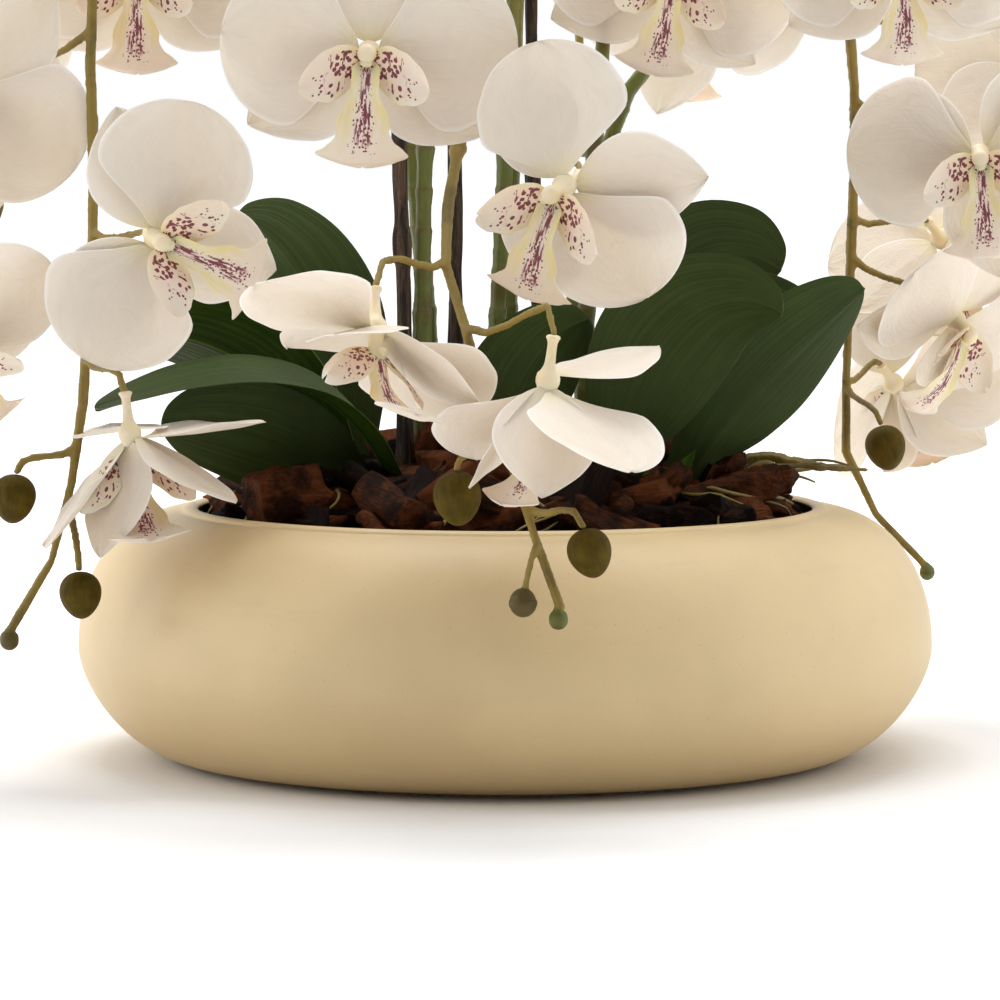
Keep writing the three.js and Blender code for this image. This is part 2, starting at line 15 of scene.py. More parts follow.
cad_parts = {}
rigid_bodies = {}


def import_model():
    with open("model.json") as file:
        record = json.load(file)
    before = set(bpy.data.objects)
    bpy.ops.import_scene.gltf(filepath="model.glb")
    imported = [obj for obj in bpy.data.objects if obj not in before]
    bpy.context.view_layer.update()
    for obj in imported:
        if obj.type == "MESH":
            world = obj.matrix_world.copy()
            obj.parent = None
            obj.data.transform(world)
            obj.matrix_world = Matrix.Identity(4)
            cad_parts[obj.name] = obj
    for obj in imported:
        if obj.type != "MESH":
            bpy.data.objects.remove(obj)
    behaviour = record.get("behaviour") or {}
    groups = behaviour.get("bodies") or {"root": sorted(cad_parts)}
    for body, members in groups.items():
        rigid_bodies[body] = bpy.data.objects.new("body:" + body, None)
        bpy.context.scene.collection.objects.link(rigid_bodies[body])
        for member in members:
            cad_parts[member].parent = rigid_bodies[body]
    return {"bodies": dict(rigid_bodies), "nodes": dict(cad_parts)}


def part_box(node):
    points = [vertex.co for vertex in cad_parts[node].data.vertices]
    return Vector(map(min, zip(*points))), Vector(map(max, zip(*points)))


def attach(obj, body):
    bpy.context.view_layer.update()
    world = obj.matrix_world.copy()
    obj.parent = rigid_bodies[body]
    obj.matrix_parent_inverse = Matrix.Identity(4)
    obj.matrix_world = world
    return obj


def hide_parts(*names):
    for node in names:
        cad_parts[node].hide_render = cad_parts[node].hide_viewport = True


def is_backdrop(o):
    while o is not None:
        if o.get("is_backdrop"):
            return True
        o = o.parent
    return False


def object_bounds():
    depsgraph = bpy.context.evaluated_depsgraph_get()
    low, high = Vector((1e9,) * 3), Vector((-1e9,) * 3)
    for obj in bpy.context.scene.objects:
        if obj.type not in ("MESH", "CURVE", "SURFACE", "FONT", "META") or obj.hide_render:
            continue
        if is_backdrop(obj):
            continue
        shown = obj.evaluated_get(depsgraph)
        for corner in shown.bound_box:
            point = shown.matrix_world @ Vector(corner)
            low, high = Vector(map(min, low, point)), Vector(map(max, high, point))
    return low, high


bl_info = {
    "name": "Potted orchid",
    "version": (1, 0, 0),
    "blender": (4, 5, 0),
    "location": "3D View > Sidebar > Orchid",
    "description": "Builds the visible pieces of a potted moth orchid around its CAD frame",
    "category": "Add Mesh",
}

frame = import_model()
bpy.context.view_layer.update()
CAD_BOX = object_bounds()
NODES = frame["nodes"]
BODY = next(iter(frame["bodies"]))
MM = 0.001
TAU = 2 * math.pi
BOWL_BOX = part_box("bowl")
BED_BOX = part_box("bark_bed")


def group(prefix):
    """The CAD nodes whose names start with prefix, in order."""
    return sorted(n for n in NODES if n.startswith(prefix))


# ---- the sizes and colours that a user would change ----


def size(name, description, millimetres, low=0.0, high=1000.0):
    """A length property, given in millimetres."""
    return FloatProperty(
        name=name,
        description=description,
        default=millimetres * MM,
        min=low * MM,
        max=high * MM,
        subtype="DISTANCE",
        unit="LENGTH",
        precision=4,
    )


def share(name, description, default, low=0.0, high=1.0):
    """A plain number property, most often a share of some length."""
    return FloatProperty(name=name, description=description, default=default, min=low, max=high)


def count(name, description, default, low=1, high=2000):
    """A whole number property."""
    return IntProperty(name=name, description=description, default=default, min=low, max=high)


def tint(name, description, red, green, blue):
    """A linear colour property."""
    return FloatVectorProperty(
        name=name,
        description=description,
        default=(red, green, blue),
        min=0,
        max=1,
        size=3,
        subtype="COLOR",
    )


class OrchidBowl(bpy.types.PropertyGroup):
    mouth: share("Mouth", "Rim's top as a share of the bowl's radius", 143.5 / 190)
    heel: share("Heel", "Underside's edge as a share of the bowl's radius", 149 / 190)
    foot: share("Foot", "Flat foot as a share of the bowl's radius", 118 / 190)
    foot_height: size("Foot height", "How far the foot lifts the heel", 2)
    waist: share("Waist", "Height of the widest line as a share of the bowl's height", 49 / 111)
    wall: size("Wall", "Thickness of the wall", 7)
    floor: size("Floor", "Thickness of the floor", 9)
    clay: tint("Clay", "Colour of the glaze", 0.71, 0.54, 0.295)
    pad: tint("Pad", "Colour of the bumpers", 0.70, 0.47, 0.16)


class OrchidBark(bpy.types.PropertyGroup):
    chips: count("Chips", "How many loose bark chips lie on the bed", 400)
    chip: size("Chip", "Length of a middling chip", 33)
    light: tint("Light bark", "Colour of the torn faces", 0.16, 0.046, 0.013)
    dark: tint("Dark bark", "Colour of the weathered faces", 0.008, 0.003, 0.0015)
    stake: tint("Stake", "Colour of the stakes' ridges", 0.085, 0.05, 0.028)


class OrchidGreens(bpy.types.PropertyGroup):
    blade: size("Blade", "Thickness of a leaf at its midrib", 2.2)
    edge: size("Edge", "Thickness of a leaf at its edge", 0.8)
    leaf: tint("Leaf", "Colour of a leaf's upper face", 0.021, 0.043, 0.004)
    underside: tint("Underside", "Colour of a leaf's lower face", 0.045, 0.066, 0.018)
    stem: tint("Stem", "Colour of the thick stems", 0.12, 0.14, 0.022)
    stalk: tint("Stalk", "Colour of the thin stalks", 0.27, 0.185, 0.034)
    bud: tint("Bud", "Colour of the buds", 0.085, 0.058, 0.006)


class OrchidFlowers(bpy.types.PropertyGroup):
    sheet: size("Petal", "Thickness of a petal", 0.6)
    ruffle: size("Ruffle", "How far the petals' edges wave", 1.1)
    petal: tint("Petal colour", "Colour of the petals", 0.87, 0.765, 0.645)
    # shade: the tone of the petals' painted shade, in their creases and towards their middles, and
    # of their veins
    shade: tint("Petal shade", "Colour of the petals' creases", 0.72, 0.61, 0.495)
    throat: tint("Throat", "Yellow of the lip and the column", 0.84, 0.72, 0.33)
    spot: tint("Spots", "Colour of the lip's spots", 0.16, 0.004, 0.030)


class OrchidStage(bpy.types.PropertyGroup):
    distance: size("Distance", "From the aim to the camera", 2000, 100, 10000)
    elevation: FloatProperty(
        name="Elevation",
        description="Camera's height above the horizon",
        default=math.radians(4.6),
        subtype="ANGLE",
    )
    lens: FloatProperty(name="Lens", description="Focal length in millimetres", default=161.5)
    screen: size("Screen", "Width of the dark screen behind the camera", 4000, 0, 10000)
    sky: share("Sky", "Strength of the white surroundings", 1.0, 0, 10)


GROUPS = {
    "orchid_bowl": OrchidBowl,
    "orchid_bark": OrchidBark,
    "orchid_greens": OrchidGreens,
    "orchid_flowers": OrchidFlowers,
    "orchid_stage": OrchidStage,
}


# ---- materials ----


class Wire:
    """A shader socket. Arithmetic on it adds the Math nodes that work it out."""

    def __init__(self, finish, socket):
        self.finish, self.socket = finish, socket

    def __add__(self, other):
        return self.finish.maths("ADD", self, other)

    def __sub__(self, other):
        return self.finish.maths("SUBTRACT", self, other)

    def __rsub__(self, other):
        return self.finish.maths("SUBTRACT", other, self)

    def __mul__(self, other):
        return self.finish.maths("MULTIPLY", self, other)

    def __abs__(self):
        return self.finish.maths("ABSOLUTE", self)

    __radd__, __rmul__ = __add__, __mul__


class Finish:
    """A material under construction: nodes are added by node() and closed by surface()."""

    def __init__(self, name):
        self.material = bpy.data.materials.new(name)
        self.material.use_nodes = True
        self.tree = self.material.node_tree
        self.tree.nodes.clear()

    def node(self, kind, settings=None, inputs=None, out=0):
        """Adds a node of a type with its settings and inputs, and returns one output."""
        made = self.tree.nodes.new(kind)
        for key, value in (settings or {}).items():
            setattr(made, key, value)
        for key, value in (inputs or {}).items():
            if isinstance(value, Wire):
                self.tree.links.new(value.socket, made.inputs[key])
            elif value is not None:
                if made.inputs[key].type == "RGBA" and len(value) == 3:
                    value = (*value, 1)
                made.inputs[key].default_value = value
        return Wire(self, made.outputs[out])

    def maths(self, operation, first, second=None):
        """A Math node of an operation on one or two numbers."""
        return self.node("ShaderNodeMath", {"operation": operation}, {0: first, 1: second})

    def places(self, scale=(1, 1, 1), at=None):
        """Object coordinates, or at, stretched."""
        start = at or self.node("ShaderNodeTexCoord", out="Object")
        return self.node("ShaderNodeMapping", inputs={"Vector": start, "Scale": scale})

    def split(self, vector, part):
        """One part of a vector, as a number."""
        parts = self.tree.nodes.new("ShaderNodeSeparateXYZ")
        self.tree.links.new(vector.socket, parts.inputs[0])
        return Wire(self, parts.outputs[part])

    def chart(self):
        """How far across and along a piece a point lies, each from 0 to 1."""
        flat = self.node("ShaderNodeUVMap", {"uv_map": CHART})
        return flat, self.split(flat, 0), self.split(flat, 1)

    def value_of(self, name, out="Fac"):
        """What the modelling stored at each corner under a name."""
        return self.node("ShaderNodeAttribute", {"attribute_name": name}, out=out)

    def grain(self, scale, detail, rough, at=None, bend=0.0):
        """Noise of a scale, the same in every direction."""
        return self.node(
            "ShaderNodeTexNoise",
            inputs={
                "Vector": at or self.places(),
                "Scale": scale,
                "Detail": detail,
                "Roughness": rough,
                "Distortion": bend,
            },
        )

    def strands(self, stretch, detail, rough, at=None, bend=0.0):
        """Noise with its own scale along each axis."""
        return self.grain(1, detail, rough, self.places(stretch, at), bend)

    def cells(self, scale, at=None):
        """How far a point lies from the nearest of some scattered spots."""
        return self.node(
            "ShaderNodeTexVoronoi", inputs={"Vector": at or self.places(), "Scale": scale}
        )

    def rise(self, value, low, high):
        """0 up to low, 1 from high on, smooth between; low may be above high."""
        flip = low > high
        return self.node(
            "ShaderNodeMapRange",
            {"interpolation_type": "SMOOTHSTEP"},
            {"Value": value, 1: min(low, high), 2: max(low, high), 3: float(flip), 4: 1.0 - flip},
        )

    def paint(self, under, over, amount):
        """Colour over on colour under, by amount."""
        made = self.tree.nodes.new("ShaderNodeMix")
        made.data_type = "RGBA"
        for socket, value in ((0, amount), (6, under), (7, over)):
            if isinstance(value, Wire):
                self.tree.links.new(value.socket, made.inputs[socket])
            else:
                made.inputs[socket].default_value = value if socket == 0 else (*value, 1)
        return Wire(self, made.outputs[2])

    def coats(self, colour, *layers):
        """Colours painted over a colour, each by its own amount."""
        for over, amount in layers:
            colour = self.paint(colour, over, amount)
        return colour

    def relief(self, *layers):
        """Bumps on top of each other, each of a height, a depth in metres and a strength."""
        bump = None
        for height, depth, strength in layers:
            inputs = {"Height": height, "Distance": depth, "Strength": strength, "Normal": bump}
            bump = self.node("ShaderNodeBump", inputs=inputs, out="Normal")
        return bump

    def surface(self, colour, rough, normal=None, glow=None, **constants):
        """Closes the material with its main shader."""
        shader = self.node(
            "ShaderNodeBsdfPrincipled",
            inputs={
                "Base Color": colour, "Roughness": rough, "Normal": normal, "Emission Color": glow,
            },
        )
        sockets = shader.socket.node.inputs
        for name, value in constants.items():
            sockets[name.replace("_", " ")].default_value = value
        end = self.tree.nodes.new("ShaderNodeOutputMaterial")
        self.tree.links.new(shader.socket, end.inputs["Surface"])
        return self.material


CHART = "chart"  # the UV map of blades: x across, y along


def times(colour, factor):
    """A colour made darker or lighter."""
    return tuple(min(1.0, c * factor) for c in colour)


def glaze(clay):
    """Matt stone-coloured glaze: a fine tooth, faint clouding, a few pinholes and painted shade
    darkening it towards the foot.
    """
    f = Finish("bowl_glaze")
    height = f.split(f.places(), 2)
    cloud = f.grain(9, 3, 0.6)
    streak = f.strands((14, 14, 90), 5, 0.6)
    tooth = f.grain(900, 3, 0.6)
    orange = f.grain(160, 2, 0.5)
    pits = f.rise(f.cells(210), 0.10, 0.04)
    base = f.coats(
        times(clay, 0.93),
        (times(clay, 1.06), f.rise(cloud, 0.3, 0.7)),
        (times(clay, 0.9), f.rise(streak, 0.52, 0.78) * 0.45),
        (times(clay, 0.6), pits * 0.35),
    )
    # painted shade: the glaze darkens and warms towards the foot, where the bowl's low side is in
    # shade
    painted_foot_shade = (clay[0] * 0.78, clay[1] * 0.72, clay[2] * 0.6)
    base = f.paint(base, painted_foot_shade, f.rise(height + cloud * 0.03, 0.085, 0.01) * 0.7)
    rough = 0.5 + 0.1 * cloud
    bump = f.relief((orange, 0.0004, 0.25), (tooth, 0.00012, 0.5), (1 - pits, 0.0002, 0.5))
    return f.surface(
        base, rough, bump, Specular_IOR_Level=0.5, Coat_Weight=0.25, Coat_Roughness=0.4
    )


def bumper(colour):
    """Clear amber rubber, a little dusty."""
    f = Finish("bumper_rubber")
    dust = f.grain(700, 4, 0.6)
    base = f.paint(colour, times(colour, 1.35), f.rise(dust, 0.5, 0.75) * 0.5)
    bump = f.relief((dust, 0.00008, 0.4))
    return f.surface(
        base, 0.25 + 0.2 * dust, bump, Subsurface_Weight=0.5, Subsurface_Scale=0.003
    )


def bark(name, light, dark):
    """Torn pine bark: layered, reddish where fresh and near black where weathered, with near-black
    patches of painted shade.
    """
    f = Finish(name)
    local = f.value_of("grain", "Vector")
    tone = f.value_of("tint")
    layers = f.strands((60, 420, 700), 5, 0.65, local, bend=1.2)
    fibre = f.strands((160, 1500, 1500), 4, 0.6, local)
    patch = f.grain(55, 4, 0.6)
    speck = f.grain(1600, 2, 0.7)
    base = f.coats(
        dark,
        (light, f.rise(layers * 0.5 + tone * 0.5, 0.34, 0.66)),
        (times(light, 1.9), f.rise(layers, 0.62, 0.75) * f.rise(tone, 0.45, 0.9) * 0.6),
        # painted shade: near-black patches that stand for the shade in the gaps between chips
        ((0.006, 0.003, 0.002), f.rise(patch, 0.46, 0.64) * 0.85),
        ((0.14, 0.075, 0.035), f.rise(speck, 0.68, 0.8) * 0.25),
    )
    bump = f.relief((layers, 0.0028, 1.0), (fibre, 0.0009, 0.8))
    return f.surface(base, 0.5 + 0.3 * fibre, bump, Specular_IOR_Level=0.07)


def stake_bark(ridge):
    """Rough twig bark, split lengthwise."""
    f = Finish("stake_bark")
    split = f.strands((420, 420, 38), 6, 0.65, bend=0.6)
    fine = f.strands((1400, 1400, 260), 4, 0.6)
    ring = f.strands((30, 30, 160), 3, 0.5)
    base = f.coats(
        (0.014, 0.009, 0.007),
        (ridge, f.rise(split, 0.42, 0.62)),
        (times(ridge, 2.4), f.rise(fine * 0.5 + split * 0.5, 0.56, 0.68) * 0.6),
        ((0.07, 0.075, 0.03), f.rise(ring, 0.55, 0.75) * 0.3),
    )
    bump = f.relief((split, 0.0012, 0.9), (fine, 0.0004, 0.6))
    return f.surface(base, 0.6 + 0.25 * fine, bump, Specular_IOR_Level=0.3)


def leaf_skin(upper, lower):
    """Satin strap leaf: pale midrib, fine parallel veins, a painted highlight along its edges,
    paler underneath.
    """
    f = Finish("leaf_skin")
    flat, across, _ = f.chart()
    middle = abs(across - 0.5)
    vein = f.strands((95, 2.2, 1), 3, 0.55, flat)
    broad = f.strands((26, 1.1, 1), 2, 0.5, flat)
    cloud = f.grain(26, 4, 0.55)
    under = f.value_of("under")
    tone = f.rise(broad * 0.5 + cloud * 0.5, 0.36, 0.66)
    base = f.paint(times(upper, 0.72), times(upper, 1.5), tone)
    base = f.paint(base, times(upper, 2.4), f.rise(vein, 0.54, 0.72) * 0.38)
    rib = f.rise(middle, 0.022, 0.006)
    base = f.coats(
        base,
        ((0.10, 0.15, 0.03), rib * 0.6),
        ((0.006, 0.014, 0.002), f.rise(middle, 0.12, 0.03) * (1 - rib) * 0.45),
        # painted highlight: a pale line along the leaf's edge, for the light caught by its rim
        ((0.22, 0.29, 0.10), f.rise(middle, 0.483, 0.496) * 0.75),
    )
    tone = f.rise(vein * 0.6 + cloud * 0.4, 0.38, 0.66)
    back = f.paint(times(lower, 0.8), times(lower, 1.2), tone)
    base = f.paint(base, back, under)
    bump = f.relief((vein, 0.00022, 0.7), (broad, 0.0009, 0.5))
    rough = 0.34 + 0.16 * cloud + under * 0.14
    return f.surface(base, rough, bump, Specular_IOR_Level=0.08)


def stem_skin(thick, thin, bud):
    """Stems and stalks: green where thick, golden olive where thin, buds at the tips."""
    f = Finish("stem_skin")
    girth = f.value_of("girth")
    knuckle = f.value_of("knuckle")
    streak = f.strands((260, 260, 60), 4, 0.6)
    patch = f.grain(38, 4, 0.6)
    fine = f.grain(900, 3, 0.6)
    base = f.coats(
        thin,
        (thick, f.rise(girth, 0.0044, 0.0066)),
        (times(thin, 0.38), f.rise(patch, 0.46, 0.66) * 0.7),
        (times(thick, 1.7), f.rise(streak, 0.52, 0.75) * 0.4),
        ((0.11, 0.06, 0.02), knuckle * 0.7),
    )
    tip = f.rise(girth, 0.0066, 0.0078)
    base = f.paint(base, bud, tip * f.value_of("tip"))
    bump = f.relief((streak, 0.0005, 0.6), (fine, 0.00012, 0.5))
    return f.surface(base, 0.42 + 0.2 * patch, bump, Specular_IOR_Level=0.45)


def bud_skin(colour):
    """Closed bud: olive, with darker seams between its folded sepals."""
    f = Finish("bud_skin")
    flat, _, along = f.chart()
    seam = f.value_of("seam")
    streak = f.strands((30, 3, 1), 4, 0.6, flat)
    cloud = f.grain(140, 4, 0.6)
    base = f.coats(
        times(colour, 0.72),
        (times(colour, 1.25), f.rise(streak * 0.4 + cloud * 0.6, 0.36, 0.66)),
        ((0.075, 0.045, 0.014), f.rise(seam, 0.35, 0.95) * 0.55),
        ((0.10, 0.05, 0.018), f.rise(along, 0.88, 1.0) * 0.5),
    )
    bump = f.relief((streak, 0.0003, 0.6), (cloud, 0.0002, 0.5))
    return f.surface(base, 0.5 + 0.15 * cloud, bump, Specular_IOR_Level=0.08)


def petal_cloth(name, petal, shade, yellow):
    """Thin petal: fine veins from the claw, a cloudy tone with painted shade in its creases,
    painted shade towards its middle, a painted highlight along its rim and a yellow claw.
    """
    f = Finish(name)
    flat, across, along = f.chart()
    # rim: where the painted highlight along the petal's thin edge falls
    rim = f.rise(abs(across - 0.5), 0.462, 0.497)
    vein = f.strands((46, 1.5, 1), 3, 0.55, flat)
    crease = f.strands((5.5, 3.2, 1), 4, 0.6, flat, bend=1.6)
    cloud = f.grain(36, 4, 0.6)
    tooth = f.grain(1500, 2, 0.5)
    tone = f.rise(crease * 0.6 + cloud * 0.4, 0.40, 0.68)
    base = f.coats(
        petal,
        # the petal's own cloudy tone, with painted shade where the creases run
        (shade, tone * 0.30),
        (shade, f.rise(vein, 0.54, 0.75) * 0.30),
        (yellow, f.rise(along, 0.22, 0.02) * 0.42),
        # painted shade: darker towards the middle of the petal, lighter towards its edges, as if
        # lit from behind
        (shade, f.rise(abs(across - 0.5), 0.44, 0.08) * f.rise(along, 0.0, 0.3) * 0.35),
        # painted highlight: a pale line along the rim, for light through the thin edge
        ((0.97, 0.92, 0.85), rim * 0.8),
    )
    bump = f.relief((crease, 0.0011, 0.55), (vein, 0.0003, 0.6), (tooth, 0.00005, 0.4))
    return f.surface(
        base,
        0.55 + 0.12 * cloud,
        bump,
        Specular_IOR_Level=0.3,
        Subsurface_Weight=0.3,
        Subsurface_Scale=0.003,
        Subsurface_Radius=(1.0, 0.85, 0.7),
        Sheen_Weight=0.15,
    )


def lip_cloth(name, petal, yellow, spot, middle):
    """Lip lobe: maroon spots on white, denser towards the throat, with a yellow flush."""
    f = Finish(name)
    flat, across, along = f.chart()
    off = abs(across - 0.5) * 2
    warp = f.strands((7, 5, 1), 2, 0.5, flat)
    if middle:
        spots = f.cells(1, at=f.places((17, 30, 1), flat))
        streak = f.strands((16, 7, 1), 3, 0.6, flat)
        where = f.rise(off, 0.62, 0.12) * f.rise(along, 0.02, 0.12) * f.rise(along, 0.93, 0.66)
        flush = f.rise(off, 0.2, 0.7) * f.rise(along, 0.9, 0.5) * 0.85
        thick = (0.47, 0.55)
    else:
        spots = f.cells(1, at=f.places((9, 12, 1), flat))
        streak = f.strands((4, 14, 1), 2, 0.5, flat)
        where = f.rise(along, 1.0, 0.35) * f.rise(off, 1.0, 0.62)
        flush = f.rise(along, 0.75, 0.1) * 0.7
        thick = (0.56, 0.62)
    dot = f.rise(spots - 0.30 * where, 0.16, 0.10) * f.rise(where, 0.05, 0.3)
    dense = f.rise(streak, *thick) * f.rise(where, 0.5, 0.85)
    base = f.coats(
        petal,
        (yellow, flush * f.rise(warp, 0.25, 0.6)),
        ((0.90, 0.62, 0.62), f.rise(where, 0.3, 1.0) * 0.25),
        (spot, f.maths("MAXIMUM", dot, dense) * 0.94),
    )
    vein = f.strands((30, 3, 1), 3, 0.55, flat)
    bump = f.relief((vein, 0.0004, 0.6))
    return f.surface(
        base, 0.45 + 0.12 * warp, bump, Specular_IOR_Level=0.4,
        Subsurface_Weight=0.25, Subsurface_Scale=0.003,
    )


def column_flesh(petal, yellow):
    """Waxy column and flower hub, cream with a yellow flush."""
    f = Finish("column_flesh")
    cloud = f.grain(180, 4, 0.6)
    fine = f.grain(1200, 2, 0.5)
    base = f.paint(petal, yellow, f.rise(cloud, 0.35, 0.7) * 0.4 + 0.25)
    bump = f.relief((cloud, 0.0003, 0.4), (fine, 0.00005, 0.5))
    return f.surface(
        base, 0.35 + 0.15 * cloud, bump, Specular_IOR_Level=0.5,
        Subsurface_Weight=0.3, Subsurface_Scale=0.003,
    )


def dark_felt():
    """Black felt for the screen behind the camera."""
    f = Finish("dark_felt")
    nap = f.grain(200, 3, 0.5)
    base = f.paint((0.01, 0.01, 0.01), (0.03, 0.03, 0.03), nap)
    return f.surface(base, 0.95, Specular_IOR_Level=0.0)


def floor_paper():
    """Plain pale paper."""
    f = Finish("floor_paper")
    fibre = f.grain(300, 3, 0.5)
    base = f.paint((0.89, 0.89, 0.89), (0.92, 0.92, 0.92), fibre)
    away = f.node("ShaderNodeVectorMath", {"operation": "LENGTH"}, {0: f.places()}, out="Value")
    glow = f.paint((0, 0, 0), (1, 1, 1), f.rise(away, 0.26, 0.75))
    return f.surface(base, 0.9, glow=glow, Specular_IOR_Level=0.0, Emission_Strength=0.25)


# ---- shared modelling helpers ----


def smooth(value, low=0.0, high=1.0):
    """0 at low, 1 at high and eased between; low may be above high."""
    share_of = min(1.0, max(0.0, (value - low) / (high - low)))
    return share_of * share_of * (3 - 2 * share_of)


def lerp(first, last, amount):
    """The value that lies amount of the way from first to last."""
    return first + (last - first) * amount


def mesh_of(name, bm):
    """Closes a bmesh into a mesh."""
    mesh = bpy.data.meshes.new(name)
    bm.to_mesh(mesh)
    bm.free()
    return mesh


def link(name, data):
    """A new object in the scene."""
    made = bpy.data.objects.new(name, data)
    bpy.context.scene.collection.objects.link(made)
    return made


def settle(name, bm, materials, nodes=()):
    """Turns a bmesh into a finished piece."""
    settle_mesh(name, mesh_of(name, bm), materials, nodes)


def settle_mesh(name, mesh, materials, nodes=()):
    """A finished piece that rides on the body, and stands for CAD nodes."""
    mesh.name = name
    mesh.shade_smooth()
    for material in materials:
        mesh.materials.append(material)
    piece = link(name, mesh)
    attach(piece, BODY)
    if nodes:
        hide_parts(*nodes)


def merged(name):
    """A CAD node's mesh with its corners joined."""
    bm = bmesh.new()
    bm.from_mesh(NODES[name].data)
    bmesh.ops.remove_doubles(bm, verts=bm.verts, dist=1e-6)
    bm.verts.index_update()
    bm.normal_update()
    return bm


def skinned(bm, grid, passes):
    """An even, softened skin of squares of side grid over a closed shape."""
    mesh = mesh_of("working", bm)
    work = link("working", mesh)
    remesh = work.modifiers.new("Remesh", "REMESH")
    remesh.mode, remesh.voxel_size = "VOXEL", grid
    soften = work.modifiers.new("Smooth", "SMOOTH")
    soften.iterations, soften.factor = passes, 0.5
    out = bmesh.new()
    out.from_object(work, bpy.context.evaluated_depsgraph_get())
    bpy.data.objects.remove(work)
    bpy.data.meshes.remove(mesh)
    out.normal_update()
    return out


# side of the squares and softening passes of the skin over each kind of CAD piece
SKINS = {
    "bark_chunk": (0.9 * MM, 3),
    "twig_stake": (0.8 * MM, 4),
    "air_root": (0.6 * MM, 4),
    "spike_": (0.9 * MM, 5),
}


def skins(prefix):
    """The CAD nodes whose names start with prefix, each with its skin."""
    for name in group(prefix):
        yield name, skinned(merged(name), *SKINS[prefix])


def blade(bm, around, rings, place, material=0):
    """A thin closed blade, made from a sphere laid flat.

    place(t, u, side) gives the point t of the way along, u of the way across from -1 to 1,
    and side 1 on the front face to -1 on the back."""
    chart = bm.loops.layers.uv.get(CHART) or bm.loops.layers.uv.new(CHART)
    made = bmesh.ops.create_uvsphere(bm, u_segments=around, v_segments=rings, radius=1)
    where = {}
    faces = set()
    for vert in made["verts"]:
        x, y, z = vert.co
        ring = math.hypot(x, y)
        t = (1 - z) / 2
        u, side = (x / ring, y / ring) if ring > 1e-5 else (0.0, 0.0)
        where[vert] = ((u + 1) / 2, t)
        vert.co = place(t, u, side)
        faces.update(vert.link_faces)
    for face in faces:
        face.material_index = material
        for loop in face.loops:
            loop[chart].uv = where[loop.vert]
    bmesh.ops.recalc_face_normals(bm, faces=list(faces))


def lathe(bm, profile, steps, material=0):
    """A closed turned shape from (radius, height) points that start and end on the axis."""
    verts = [bm.verts.new((r, 0, z)) for r, z in profile]
    edges = [bm.edges.new(pair) for pair in zip(verts, verts[1:])]
    before = set(bm.faces)
    bmesh.ops.spin(
        bm, geom=verts + edges, cent=(0, 0, 0), axis=(0, 0, 1), angle=TAU, steps=steps,
        use_merge=True,
    )
    faces = [face for face in bm.faces if face not in before]
    found = list({vert for face in faces for vert in face.verts})
    bmesh.ops.remove_doubles(bm, verts=found, dist=1e-7)
    faces = [face for face in bm.faces if face not in before]
    bmesh.ops.recalc_face_normals(bm, faces=faces)
    for face in faces:
        face.material_index = material
    return {vert for face in faces for vert in face.verts}


def tube(bm, path, girth, sides=8):
    """A round strand along path, closed at both ends; girth(t) is its radius."""
    points = [Vector(p) for p in path]
    last = len(points) - 1
    up = Vector((0.31, 0.22, 0.92))
    ring = None
    faces = []
    for i, point in enumerate(points):
        ahead = (points[min(i + 1, last)] - points[max(i - 1, 0)]).normalized()
        side = ahead.cross(up).normalized()
        other = side.cross(ahead)
        radius = girth(i / last)
        turn = Matrix((side, other, ahead)).transposed().to_4x4()
        made = bmesh.ops.create_circle(
            bm, segments=sides, radius=radius, cap_ends=False,
            matrix=Matrix.Translation(point) @ turn,
        )["verts"]
        edges = list(dict.fromkeys(e for v in made for e in v.link_edges))
        if ring is None:
            first = edges
        else:
            bridged = bmesh.ops.bridge_loops(bm, edges=ring + edges)
            faces += bridged["faces"]
        ring = edges
    for end in (first, ring):
        faces += bmesh.ops.edgeloop_fill(bm, edges=end)["faces"]
    bmesh.ops.recalc_face_normals(bm, faces=faces)


def wave(point, scale, seed=0.0):
    """Smooth noise from -1 to 1."""
    return noise.noise(Vector(point) * scale + Vector((seed, seed * 1.7, -seed)))


# ---- bowl ----


def bowl_profile(settings, radius, height):
    """(radius, height) points of the bowl's section, from under the middle round to inside."""
    steps, rim_steps = 40, 10
    low, waist, wall = settings.foot_height, settings.waist * height, settings.wall
    lower_roundness, upper_roundness = 1.6, 2.1  # 2 is an ellipse, less is flatter
    rim_drop = wall * 0.3

    def side(inset, bottom, top):
        belly, mouth = radius - inset, settings.mouth * radius - inset
        heel = settings.heel * radius - inset / 2
        points = []
        for i in range(steps + 1):
            a = i / steps * math.pi / 2
            points.append((
                lerp(heel, belly, math.sin(a) ** (2 / lower_roundness)),
                lerp(bottom, waist, 1 - math.cos(a) ** (2 / lower_roundness)),
            ))
        for i in range(1, steps + 1):
            a = i / steps * math.pi / 2
            points.append((
                lerp(mouth, belly, math.cos(a) ** (2 / upper_roundness)),
                lerp(waist, top, math.sin(a) ** (2 / upper_roundness)),
            ))
        return points

    foot = settings.foot * radius
    outer = side(0, low, height - rim_drop)
    inner = side(wall, settings.floor, height - rim_drop)
    mouth = settings.mouth * radius
    lip = []
    for i in range(1, rim_steps):
        a = i / rim_steps * math.pi
        lip.append((
            mouth - wall / 2 + wall / 2 * math.cos(a),
            height - rim_drop + rim_drop * math.sin(a),
        ))
    worn = 0.6 * MM
    under = [(0, 0), (foot * 0.5, 0), (foot - worn, 0), (foot, worn), (foot + 0.4 * MM, low)]
    inside = [(inner[0][0] * 0.5, settings.floor), (0, settings.floor)]
    return under + outer + lip + inner[::-1] + inside


